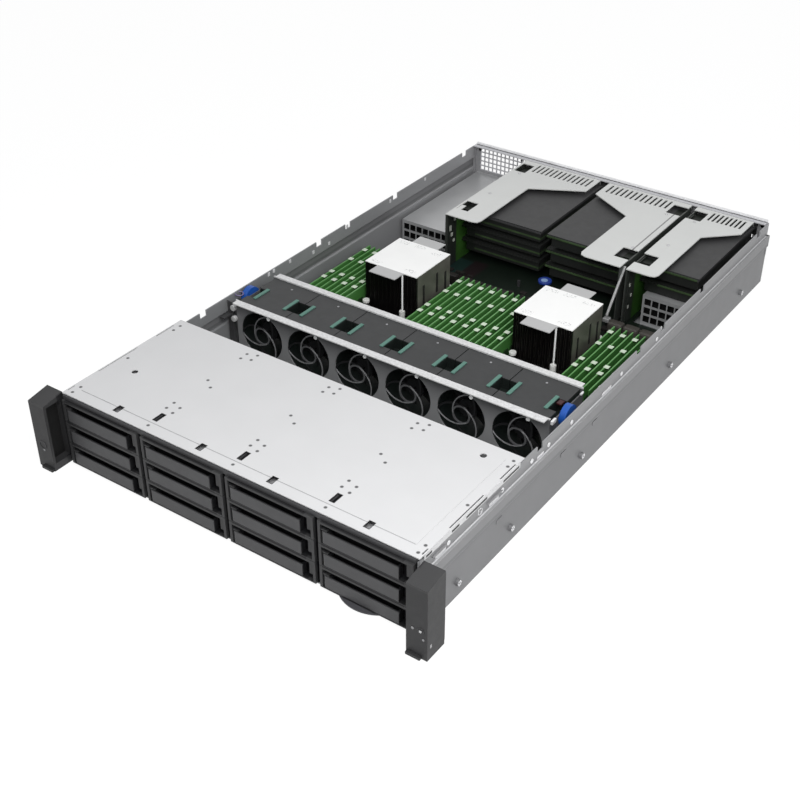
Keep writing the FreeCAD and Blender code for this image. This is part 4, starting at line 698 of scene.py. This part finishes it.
        # Painted shade: near black where the skirt's slits and the clip and key openings are.
        finish.over(finish.either(slits, clips, keys), "lid opening shade")
        return finish

    def window_tab(self, finish):
        """Bent corner left standing in the left riser cover's front window."""
        tab = Form()
        tab.block((-123.6, -117.6), (578.6, 592), (83.2, 84))
        tab.place("window_tab", "chassis", finish, "light_steel")

    def wall_marks(self, zinc):
        """Pressed marks, rivets, slots and hooks on the side walls."""
        marks, hooks = Form(), Form()
        for _, sign in SIDES:
            for y, z in self.WALL_PRESSINGS:
                marks.block(beside(sign, 217.4, 217.9), around(y, 5), around(z, 2.2), 0.2)
            marks.block(beside(sign, 213.9, 217.8), (766, 769.6), (38, 66))
            stud_face = beside(sign, 220.4, 220.9)[0]
            for y in self.RAIL_STUDS:
                for turn in range(6):
                    angle = math.radians(60 * turn)
                    spot = (stud_face, y + 2.1 * math.cos(angle), STUD_HEIGHT + 2.1 * math.sin(angle))
                    hooks.rod("x", spot, 0.9, 0.5, 10)
            for y, z in self.TOP_HOOKS:
                hooks.block(beside(sign, 213.2, 214.2), around(y, 1.6), (z - 2.4, z + 1.8), 0.2)
            for span in self.LEDGE_SLOTS:
                hooks.block(beside(sign, 215.5, 216), span, (67.5, 70.5), 0.2)
            hooks.ring("x", (sign * 215.5, 99, 72), 3.4, 0.35, 20)
            rivet_face = beside(sign, 215.6, 216.4)[0]
            for y in self.LEDGE_RIVETS:
                hooks.rod("x", (rivet_face, y, 72.5), 2.6, 0.8, 14, bevel=0.2)
        marks.place("wall_marks", "chassis", zinc, "zinc_steel")
        steel = rolled_sheet("wall_steel", (0.66, 0.66, 0.67))
        hooks.place("wall_hooks", "chassis", steel, "zinc_steel")

    def cover_screws(self):
        heads = Form()
        radius = self.sizes.screw_radius / MM
        for x, y in self.COVER_SCREWS:
            heads.rod("z", (x, y, 84.2), radius, 0.8, 20, bevel=0.3)
        for x in self.PANEL_SCREWS:
            heads.rod("y", (x, 768.8, self.PANEL_SCREW_HEIGHT), radius * 1.2, 2.2, 16)
        steel = rolled_sheet("screw_steel", (0.5, 0.5, 0.51), metal=0.6, roughness=0.35)
        heads.place("cover_screws", "chassis", steel, "zinc_steel")

    def strut(self):
        """Bright slanting edge of the middle riser cover's bracket, with its foot."""
        bar = Form()
        bar.block((117.2, 119.8), (550.4, 553.6), (24, 86), 0.3, lean=38)
        bar.block((114, 122), (531, 539), (22, 27), 1)
        steel = rolled_sheet("strut_steel", (0.36, 0.36, 0.36), metal=0.3)
        bar.place("riser_strut", "chassis", steel, "light_steel")

    def rear_rim(self):
        """Folded lip along the rear panel's top, over a dark strip of painted shadow beneath it."""
        lip, lip_shadow = Form(), Form()
        lip.block((-212.5, 214), (766.4, 769.8), (84, 86.2), 0.3)
        lip_shadow.block((-212.5, 213), (766.6, 769.7), (83.2, 84))
        light = rolled_sheet("lip_sheet", (0.8, 0.8, 0.81), spread=0.1)
        lip.place("rear_lip", "chassis", light, "zinc_steel")
        # Painted shadow: a dark strip under the lip.
        dark = rolled_sheet("lip_shadow_sheet", (0.05, 0.05, 0.052), roughness=0.5, spread=0.3)
        lip_shadow.place("rear_lip_shadow", "chassis", dark, "zinc_steel")


class SERVER_OT_drive_bays(ServerOperator, bpy.types.Operator):
    """Bay cage, carriers, levers and backplane"""

    bl_idname = "server.drive_bays"
    bl_label = "Drive bays"

    def execute(self, context):
        cage = rolled_sheet("bay_cage_sheet", self.colours.cage, roughness=0.5, spread=0.05)
        dress(cage, "drive_cage")
        bays = [f"{column}_{row}" for column in COLUMNS for row in ROWS]
        dress(self.carrier_finish(), *[f"drive_carrier_{bay}" for bay in bays])
        dress(self.lever_finish(), *[f"drive_lever_{bay}" for bay in bays])
        dress(moulded("backplane_lacquer", (0.02, 0.07, 0.035)), "drive_backplane")
        return {"FINISHED"}

    def carrier_finish(self):
        """Dark plastic with painted shade between the rows and behind its front, and a grey drive."""
        finish = moulded("carrier_plastic", self.colours.carrier, 0.48)
        across = finish.from_middle(finish.across, CARRIER_LEFT + COLUMN_PITCH / 2, COLUMN_PITCH)
        height = finish.from_middle(finish.up, BAY_FLOOR, ROW_PITCH)
        rims = finish.between(height, -CARRIER_RIM, CARRIER_RIM)
        # Painted shade: darker bands between the rows of carriers.
        finish.over(finish.both(finish.between(across, -50.7, 39), rims), "carrier gap shade")
        # Painted shade: near black behind the carrier's front.
        finish.patch("carrier depth shade", y=(1, 14))
        finish.patch("drive case", y=(14, 170))
        return finish

    def lever_finish(self):
        finish = moulded("lever_plastic", self.colours.lever, 0.45)
        # Painted shade: near black behind the lever's front plate.
        finish.patch("lever back shade", y=(-1.4, 8))
        return finish


class SERVER_OT_handles(ServerOperator, bpy.types.Operator):
    """Rack handles, power button, lights and the pull-out tab"""

    bl_idname = "server.handles"
    bl_label = "Rack handles"

    FACE = -22.3
    LIGHT_FACE = -22.35
    BUTTON = (234.5, 32.8)

    def execute(self, context):
        dress(self.handle_finish(), "rack_handle_left", "rack_handle_right")
        press = moulded("press_plastic", (0.05, 0.05, 0.052), 0.4)
        x, z = self.BUTTON
        press.patch("button middle", x=around(x, 1.2), z=around(z, 1.2))
        dress(press, "power_button")
        dress(moulded("tab_plastic", (0.05, 0.05, 0.055)), "info_tab")
        lights = Form()
        for light_x, light_z, radius in ((226.1, 32.4, 1.4), (237.2, 23.9, 1.2), (-230, 24, 1.4)):
            lights.rod("y", (light_x, self.LIGHT_FACE, light_z), radius, 0.4, 20)
        grey = moulded("button_plastic", (0.2, 0.2, 0.205), 0.4)
        lights.place("front_lights", "chassis", grey, "button_plastic")
        rings = Form()
        rings.ring("y", (x, self.FACE, z), 3.1, 0.3)
        rings.ring("y", (-230.5, self.FACE, 30), 4.6, 0.3)
        rings.place("button_rings", "chassis", press, "button_plastic", smooth=True)
        return {"FINISHED"}

    def handle_finish(self):
        """Dark plastic with painted shade on its inner side and on its front, and a small light dash."""
        finish = moulded("handle_plastic", self.colours.handle, 0.5, 0.05, 2200)
        # Painted shade: near black on the handle's inner side.
        finish.patch("handle inner shade", x=(-238, 238), y=(-18.95, 1.35), z=(9.05, 77.45))
        # Painted shade: the front face darker than the sides.
        finish.patch("handle front shade", y=(-26, -21.4), z=(0, 78))
        finish.patch("handle rim", x=(-221, 221), y=(-4, 20))
        finish.patch("handle dash", x=(241, 241.6), y=(-17.6, -15), z=(12.6, 16.4))
        return finish


class SERVER_OT_fans(ServerOperator, bpy.types.Operator):
    """Fan cage, fans, impellers and release levers"""

    bl_idname = "server.fans"
    bl_label = "Fans"

    CAGE_FRONT = 246.3
    # Where the guard wires meet the rim, in degrees up from the right.
    WIRE_ENDS = (66.4, -178, -60)
    WIRE_LEAD = 126.3
    LOCK_END = -204.5

    def execute(self, context):
        dress(self.cage_finish(), "fan_cage_front", "fan_cage_rear", "fan_cage_base")
        dress(self.fan_finish(), *[f"fan_{number}" for number in FANS])
        impeller = moulded("impeller_plastic", (0.006, 0.006, 0.007))
        dress(impeller, *[f"impeller_{number}" for number in FANS])
        dress(moulded("lever_blue", self.colours.blue, 0.4), "cage_lever_left", "cage_lever_right")
        self.dots()
        self.rivets()
        self.guard_wires()
        self.cage_knobs()
        self.lever_fittings()
        return {"FINISHED"}

    def fan_finish(self):
        """Grey top with teal grips, and the body below it near black with painted shade."""
        finish = moulded("fan_plastic", self.colours.fan_top)
        # Painted shade: the fan's body inside the cage near black.
        finish.patch("fan body shade", z=(0, 79.5))
        finish.patch(self.colours.teal, z=(80.6, 82))
        return finish

    def cage_finish(self):
        """Grey sheet in painted shadow near its flanges, the flanges in painted light; painted shade over
        the guards, with a lighter ring.
        """
        finish = rolled_sheet("fan_cage_sheet", self.colours.fan_plate_shadow, metal=0.2, roughness=0.45)
        # Painted shadow: the plate darkens upwards from z 50 to 76 under the flanges.
        low = finish.ramp(finish.up, 50.0 * MM, 76.0 * MM, 1, 0)
        finish.over(low, finish.mottle(SHADES["lower plate"], 0.03, 30))
        local = finish.from_middle(finish.across, FAN_PITCH / 2, FAN_PITCH)
        height = finish.math("SUBTRACT", finish.up, FAN_AXIS * MM)
        squares = finish.math("ADD", finish.math("POWER", local, 2), finish.math("POWER", height, 2))
        radius = finish.math("SQRT", squares)
        # Painted shade: near black within each guard's rim, over the wires in the opening; only the ring
        # stays lighter.
        finish.over(finish.math("LESS_THAN", radius, GUARD_RIM * MM), "guard opening shade")
        finish.over(finish.between(radius, *around(GUARD_RING, 1.1)), "cage ring")
        # Painted light: the flanges' tops lighter than the plate.
        flange = finish.inside(z=(80.5, 83))
        finish.over(flange, finish.mottle(SHADES["cage flange light"], 0.14, 420))
        return finish

    def dots(self):
        """One small grey dot on each fan's top."""
        grey = moulded("dot_grey", (0.26, 0.26, 0.27))
        for number in FANS:
            dot = Form()
            dot.rod("z", (fan_middle(number), 302, 80.4), 1.3, 0.3, 14)
            dot.place(f"fan_dot_{number}", f"fan_module_{number}", grey, "fan_plastic")

    def rivets(self):
        """The white rivet of each guard, made whiter still with painted light against the flange's shade.
        """
        rivets = Form()
        for number in FANS:
            rivets.rod("y", (fan_middle(number) + 11.6, 245.2, 72.6), 2.3, 0.8, 14, bevel=0.2)
        # Partly painted light: the rivets' real white raised to full white.
        white = rolled_sheet("rivet_steel", (0.97, 0.97, 0.97), metal=0)
        rivets.place("guard_rivets", "fan_cage_module", white, "fan_cage_steel")

    def guard_wires(self):
        """Three curved wires from each guard's ring to its rim, laid over the cage's own."""
        offset = (GUARD_RIM ** 2 - GUARD_RING ** 2) / (GUARD_RIM + 2 * GUARD_RING)
        radius = GUARD_RING + offset
        cosine = (offset ** 2 + radius ** 2 - GUARD_RIM ** 2) / (2 * offset * radius)
        sweep = math.degrees(math.acos(cosine))
        wires = Form()
        for number in FANS:
            for end in self.WIRE_ENDS:
                leave = math.radians(end + self.WIRE_LEAD)
                x = fan_middle(number) - offset * math.cos(leave)
                z = FAN_AXIS - offset * math.sin(leave)
                wires.ring("y", (x, self.CAGE_FRONT, z), radius, 0.85, 14, -math.degrees(leave), sweep)
        grey = moulded("wire_grey", (0.14, 0.14, 0.145), 0.45)
        wires.place("guard_wires", "fan_cage_module", grey, "fan_cage_steel", smooth=True)

    def cage_knobs(self):
        """Light knobs that hold the cage's left end."""
        knobs = Form()
        for z in (58, 72):
            knobs.rod("y", (self.LOCK_END, 241.5, z), 3.6, 4.5, 20, bevel=0.8)
        steel = rolled_sheet("knob_steel", (0.55, 0.55, 0.55), metal=0.2)
        knobs.place("cage_knobs", "fan_cage_module", steel, "fan_cage_steel")

    def lever_fittings(self):
        """Clips, a red catch, a bracket and a loop around the release levers."""
        clips, catch, bracket, loop = Form(), Form(), Form(), Form()
        clips.block((203.4, 206), (245, 253), (76.5, 81), 0.5)
        clips.block((203.4, 205.4), (304, 310), (78.5, 80.5), 0.5)
        catch.block((191.5, 197.5), (277, 285), (78, 80), 0.6)
        bracket.block((-213.4, -205.6), (243.6, 244.8), (20, 79), 0.3)
        bracket.block((-213.4, -207), (230, 243.6), (62, 64), 0.3)
        loop.ring("z", (-211, 262, 79.5), 4.6, 0.7, 24)
        white = rolled_sheet("clip_steel", (0.7, 0.7, 0.71))
        clips.place("cage_clips", "fan_cage_module", white, "fan_cage_steel")
        red = moulded("catch_red", (0.035, 0.007, 0.009), 0.4)
        catch.place("cage_catch", "fan_module_6", red, "fan_plastic")
        shade = rolled_sheet("bracket_sheet", (0.045, 0.045, 0.047), roughness=0.5, spread=0.3)
        bracket.place("wall_bracket", "chassis", shade, "fan_cage_steel")
        violet = moulded("loop_violet", (0.16, 0.13, 0.24), 0.4)
        loop.place("lever_loop", "fan_cage_module", violet, "blue_plastic", smooth=True)


class SERVER_OT_memory(ServerOperator, bpy.types.Operator):
    """Memory boards, chips, paper tags and sockets"""

    bl_idname = "server.memory"
    bl_label = "Memory"

    CHIP_ROW = 128.0
    TAG_PLACES = (403.5, 419, 458, 487)

    def execute(self, context):
        dress(moulded("socket_plastic", (0.02, 0.06, 0.018)), "memory_sockets")
        board = moulded("memory_lacquer", self.colours.module, 0.35)
        board.patch("module edge", z=around(MODULE_TOP, 1))
        dress(board, "memory_modules")
        chips, tags = Form(), Form()
        for bank in BANKS:
            for slot in range(MODULES_PER_BANK):
                middle = bank + (slot - (MODULES_PER_BANK - 1) / 2) * SLOT_PITCH
                self.lay_chips(chips, middle)
                if slot % 2 == 0:
                    self.lay_tags(tags, middle)
        resin = moulded("chip_resin", (0.02, 0.05, 0.018), 0.4)
        chips.place("memory_chips", "chassis", resin, "memory_board")
        tags.place("memory_tags", "chassis", moulded("paper_tag", self.colours.tag, 0.6), "memory_board")
        return {"FINISHED"}

    def lay_chips(self, chips, middle):
        count = self.sizes.chips_per_side
        for chip in range(count):
            y = MODULE_MIDDLE + (chip - (count - 1) / 2) * self.CHIP_ROW / count
            for _, sign in SIDES:
                face = middle + sign * 0.7
                chips.block(sorted((face, face + sign * 0.9)), around(y, 4.5), (15, 27))

    def lay_tags(self, tags, middle):
        left = middle - 1.2
        for y in self.TAG_PLACES:
            x = (left, left + self.sizes.tag_width / MM)
            tags.block(x, around(y, 3), (MODULE_TOP, MODULE_TOP + 0.3))


class SERVER_OT_heatsinks(ServerOperator, bpy.types.Operator):
    """Heatsinks, their covers and screws"""

    bl_idname = "server.heatsinks"
    bl_label = "Heatsinks"

    FIN_COUNT = 36
    FIN_SPREAD = 71.0
    NOTCHES = ((424, 52), (452, 56), (470, 50))
    MARKS = ((-25, 416), (22, 418), (-24, 473), (-2, 474), (24, 470))

    def execute(self, context):
        fins = rolled_sheet("fin_metal", (0.16, 0.155, 0.135), metal=0.5, roughness=0.38, spread=0.25)
        fins.patch("sink front", y=(395, 411.5))
        dress(fins, "heatsinks")
        dress(self.cover_finish(), "heatsink_covers")
        thin, nuts, notches = Form(), Form(), Form()
        for centre in SINKS:
            for index in range(self.FIN_COUNT):
                x = centre - self.FIN_SPREAD / 2 + index * self.FIN_SPREAD / (self.FIN_COUNT - 1)
                thin.block((x, x + 0.5), (409.5, 479.5), (17.8, 77))
            nuts.rod("z", (centre + 17.7, 407, 19), 3.6, 10, 20, bevel=0.6)
            for x, y in ((-32, 402.5), (32, 486.5)):
                nuts.rod("z", (centre + x, y, 26.6), 4.3, 4, 20, bevel=0.8)
            for y, z in self.NOTCHES:
                notches.block((centre + 36.95, centre + 37.2), around(y, 2), (z - 16, z + 10), 0.1)
        thin.place("thin_fins", "chassis", fins, "fin_aluminium")
        nuts.place("sink_nuts", "chassis", moulded("nut_white", (0.72, 0.72, 0.7)), "white_plastic")
        dark = moulded("notch_black", SHADES["sink front"], 0.6)
        notches.place("sink_notches", "chassis", dark, "fin_aluminium")
        return {"FINISHED"}

    def cover_finish(self):
        """White plate with grey lift tabs and faint speckled marks near its corners."""
        finish = moulded("cover_white", self.colours.white, 0.5, 0.015)
        tabs = finish.spans(finish.along, ((385, 408.9), (480.1, 505)), FRONT)
        finish.over(finish.both(tabs, finish.inside(z=(77.4, 79))), "lift tab")
        marks = finish.either(*[
            finish.inside(x=around(centre + x, 7.5), y=around(y, 3.4))
            for centre in SINKS for x, y in self.MARKS
        ])
        speckle = finish.math("GREATER_THAN", finish.noise(420, 2, (1, 1.6, 1)), 0.575)
        finish.over(finish.both(marks, speckle), "pressed mark")
        return finish


class SERVER_OT_mainboard(ServerOperator, bpy.types.Operator):
    """Mainboard lacquer and components"""

    bl_idname = "server.mainboard"
    bl_label = "Mainboard"

    SEED = 11
    PART_COUNT = 150
    CAN_COUNT = 40
    HALF_WIDTH = 200.0
    CAN_ROWS = (336, 348, 515, 530)
    PLUGS = (122, 142, 162, 182)
    HEADERS = (-120, -84, -48, 20, 56)

    def execute(self, context):
        board = moulded("board_lacquer", self.colours.board, 0.4, 0.25)
        board.patch("teal patch", x=(-132, -103), y=(535, 592))
        board.patch("plum patch", x=(-103, -82), y=(545, 596))
        dress(board, "mainboard")
        parts, cans, plugs = Form(), Form(), Form()
        random.seed(self.SEED)
        self.scatter_parts(parts)
        self.scatter_cans(cans)
        for x in self.HEADERS:
            parts.block((x, x + 30), (528, 536), (BOARD_TOP, 19), 1)
        for x in self.PLUGS:
            plugs.block((x, x + 19), (527, 540), (BOARD_TOP, 26), 3)
        brown = moulded("plug_resin", (0.055, 0.05, 0.044), 0.5, 0.3)
        plugs.place("board_plugs", "chassis", brown, "circuit_board")
        resin = moulded("part_resin", (0.02, 0.018, 0.017), 0.4)
        parts.place("board_parts", "chassis", resin, "circuit_board")
        metal = rolled_sheet("can_metal", (0.3, 0.3, 0.32), metal=0.8, roughness=0.3)
        cans.place("board_cans", "chassis", metal, "circuit_board")
        return {"FINISHED"}

    def scatter_parts(self, parts):
        """Small parts behind the memory, and every third one in front of it."""
        half = self.HALF_WIDTH
        for index in range(self.PART_COUNT):
            x, y = random.uniform(-half, half), random.uniform(510, 556)
            if index % 3 == 0:
                x, y = random.uniform(-half, half), random.uniform(330, 358)
            wide, deep, tall = random.uniform(2, 9), random.uniform(2, 9), random.uniform(1, 4)
            parts.block((x, x + wide), (y, y + deep), (BOARD_TOP, BOARD_TOP + tall))

    def scatter_cans(self, cans):
        for _ in range(self.CAN_COUNT):
            x, y = random.uniform(-self.HALF_WIDTH, self.HALF_WIDTH), random.choice(self.CAN_ROWS)
            cans.rod("z", (x, y + random.uniform(-3, 3), BOARD_TOP), 3, 8, 12)


class SERVER_OT_risers(ServerOperator, bpy.types.Operator):
    """Riser boards and expansion cards"""

    bl_idname = "server.risers"
    bl_label = "Risers and cards"

    # Left connectors: y, z and height. Right catches: y and z.
    CONNECTORS = ((564.5, 62, 7), (568, 52, 5), (574.5, 71, 3), (573, 42, 3.5))
    CATCHES = ((566, 60), (572, 44), (567, 30))
    KNOB = (20.5, 558)
    POST_HEIGHT = 25.0

    def execute(self, context):
        riser = moulded("riser_lacquer", self.colours.riser, 0.4, 0.3)
        front = riser.inside(y=(555, 579.5), z=(0, 90))
        riser.over(riser.either(front, riser.between(riser.up, 72, 90)), "riser front")
        dress(riser, "riser_boards")
        dress(self.card_finish(), "expansion_cards")
        self.connectors()
        self.knob()
        return {"FINISHED"}

    def card_finish(self):
        """Dark plates, darker sides, thin green board edges and shade under the windows."""
        card = moulded("card_plate_paint", self.colours.card, 0.5, 0.05)
        card.over(card.between(card.up, 0, CARD_PLANE - 0.1), "card side")
        planes = [CARD_PLANE - CARD_PITCH * layer for layer in range(CARD_LAYERS)]
        left = card.spans(card.up, [(plane - 8.6, plane - 6.2) for plane in planes])
        right = card.spans(card.up, [(plane - 0.2, plane + 1.8) for plane in planes])
        left = card.both(left, card.inside(x=(-200, -6)))
        right = card.both(right, card.inside(x=(-6, 200), y=(590, 600)))
        card.over(card.either(left, right), card.mottle(SHADES["card edge"], 0.3, 60))
        under = card.spans(card.across, ((-125, -105), (104, 152)))
        windows = card.spans(card.along, ((577, 608), (718, 749)), FRONT)
        card.over(card.both(under, windows), "under window")
        return card

    def connectors(self):
        """Small light connectors and catches on the riser boards' front ends."""
        pale = Form()
        for y, z, tall in self.CONNECTORS:
            pale.block((-123.7, -122.3), around(y, 1.8), around(z, tall / 2), 0.3)
        for y, z in self.CATCHES:
            pale.block((128.5, 129.6), around(y, 1.2), around(z, 2), 0.3)
        resin = moulded("connector_resin", (0.36, 0.38, 0.34), 0.5, 0.2)
        pale.place("riser_connectors", "chassis", resin, "riser_board")

    def knob(self):
        """Blue release knob on a post between the risers, with a painted highlight on its top, and a
        shorter post beside it.
        """
        post, knob, highlight_disc = Form(), Form(), Form()
        x, y = self.KNOB
        post.rod("z", (x, y, BOARD_TOP), 4, self.POST_HEIGHT, 20)
        post.rod("z", (-23.2, 570.5, BOARD_TOP), 2.2, 8, 14)
        knob.rod("z", (x, y, 32.4), 8.6, 3.6, 32, bevel=1)
        # Painted highlight: a lighter blue disc on the knob's top, set towards the front.
        highlight_disc.rod("z", (x, y - 1.5, 36), 4.2, 0.4, 24)
        post.place("riser_post", "chassis", moulded("post_black", (0.03, 0.03, 0.032)), "circuit_board")
        blue = moulded("knob_blue", (0.008, 0.03, 0.2), 0.4)
        knob.place("riser_knob", "chassis", blue, "circuit_board")
        light = moulded("knob_highlight_blue", (0.2, 0.3, 0.5), 0.4)
        highlight_disc.place("riser_knob_highlight", "chassis", light, "circuit_board")


class SERVER_OT_power_supplies(ServerOperator, bpy.types.Operator):
    """Power supplies with their fan guards and inlet pins"""

    bl_idname = "server.power_supplies"
    bl_label = "Power supplies"

    # From each supply's middle.
    GUARD_MIDDLE = (-17.75, 21.5)
    GUARD_RADII = (5.5, 9.5, 13.5)
    INLET_MIDDLE = 19.25
    PINS = ((-6, 13.5), (6, 13.5), (0, 18.5))

    def execute(self, context):
        case = self.case_finish()
        dress(case, "power_supply_left", "power_supply_right")
        black = moulded("supply_black", (0.012, 0.012, 0.013))
        guard_x, guard_z = self.GUARD_MIDDLE
        face = (SUPPLY_BACK, SUPPLY_BACK + 0.6)
        for side, sign in SIDES:
            centre = sign * SUPPLY_MIDDLE
            wires, pins = Form(), Form()
            for radius in self.GUARD_RADII:
                wires.ring("y", (centre + guard_x, SUPPLY_BACK + 0.3, guard_z), radius, 0.5)
            wires.block((centre - 34, centre - 1.5), face, around(guard_z, 0.5))
            wires.block((centre - 18.3, centre - 17.2), face, around(guard_z, 16))
            wires.place(f"supply_guard_{side}", f"supply_{side}", black, "supply_steel", smooth=True)
            for x, z in self.PINS:
                pins.block(around(centre + self.INLET_MIDDLE + x, 0.8), (758.2, 766), around(z, 2))
            pins.place(f"inlet_pins_{side}", f"supply_{side}", case, "supply_steel")
        return {"FINISHED"}

    def case_finish(self):
        """Bright case with a dark front grille and back, and a black handle."""
        case = rolled_sheet("supply_case", (0.5, 0.505, 0.51), metal=0.5, roughness=0.38)
        front = case.inside(y=(585.2, 590.5), z=(3, 40))
        back = case.inside(y=(755, 769.8), z=(5, 36))
        case.over(case.either(front, back), "supply mouth")
        case.patch("supply handle", y=(770.2, 800))
        return case


OPERATORS = (
    SERVER_OT_stage,
    SERVER_OT_sheet_metal,
    SERVER_OT_drive_bays,
    SERVER_OT_handles,
    SERVER_OT_fans,
    SERVER_OT_memory,
    SERVER_OT_heatsinks,
    SERVER_OT_mainboard,
    SERVER_OT_risers,
    SERVER_OT_power_supplies,
)


class SERVER_PT_panel(bpy.types.Panel):
    """Lists the server's dressing steps in the sidebar"""

    bl_idname = "SERVER_PT_panel"
    bl_label = "Rack server"
    bl_space_type = "VIEW_3D"
    bl_region_type = "UI"
    bl_category = "Server"

    def draw(self, context):
        for settings in (context.scene.server_colours, context.scene.server_sizes):
            for name in settings.__annotations__:
                self.layout.prop(settings, name)
        for operator in OPERATORS:
            self.layout.operator(operator.bl_idname)


CLASSES = (ServerColours, ServerSizes, *OPERATORS, SERVER_PT_panel)


def register():
    for item in CLASSES:
        bpy.utils.register_class(item)
    bpy.types.Scene.server_colours = PointerProperty(type=ServerColours)
    bpy.types.Scene.server_sizes = PointerProperty(type=ServerSizes)


def unregister():
    del bpy.types.Scene.server_sizes
    del bpy.types.Scene.server_colours
    for item in reversed(CLASSES):
        bpy.utils.unregister_class(item)


def main():
    register()
    for operator in OPERATORS:
        group, name = operator.bl_idname.split(".")
        getattr(getattr(bpy.ops, group), name)()


if __name__ == "__main__":
    main()
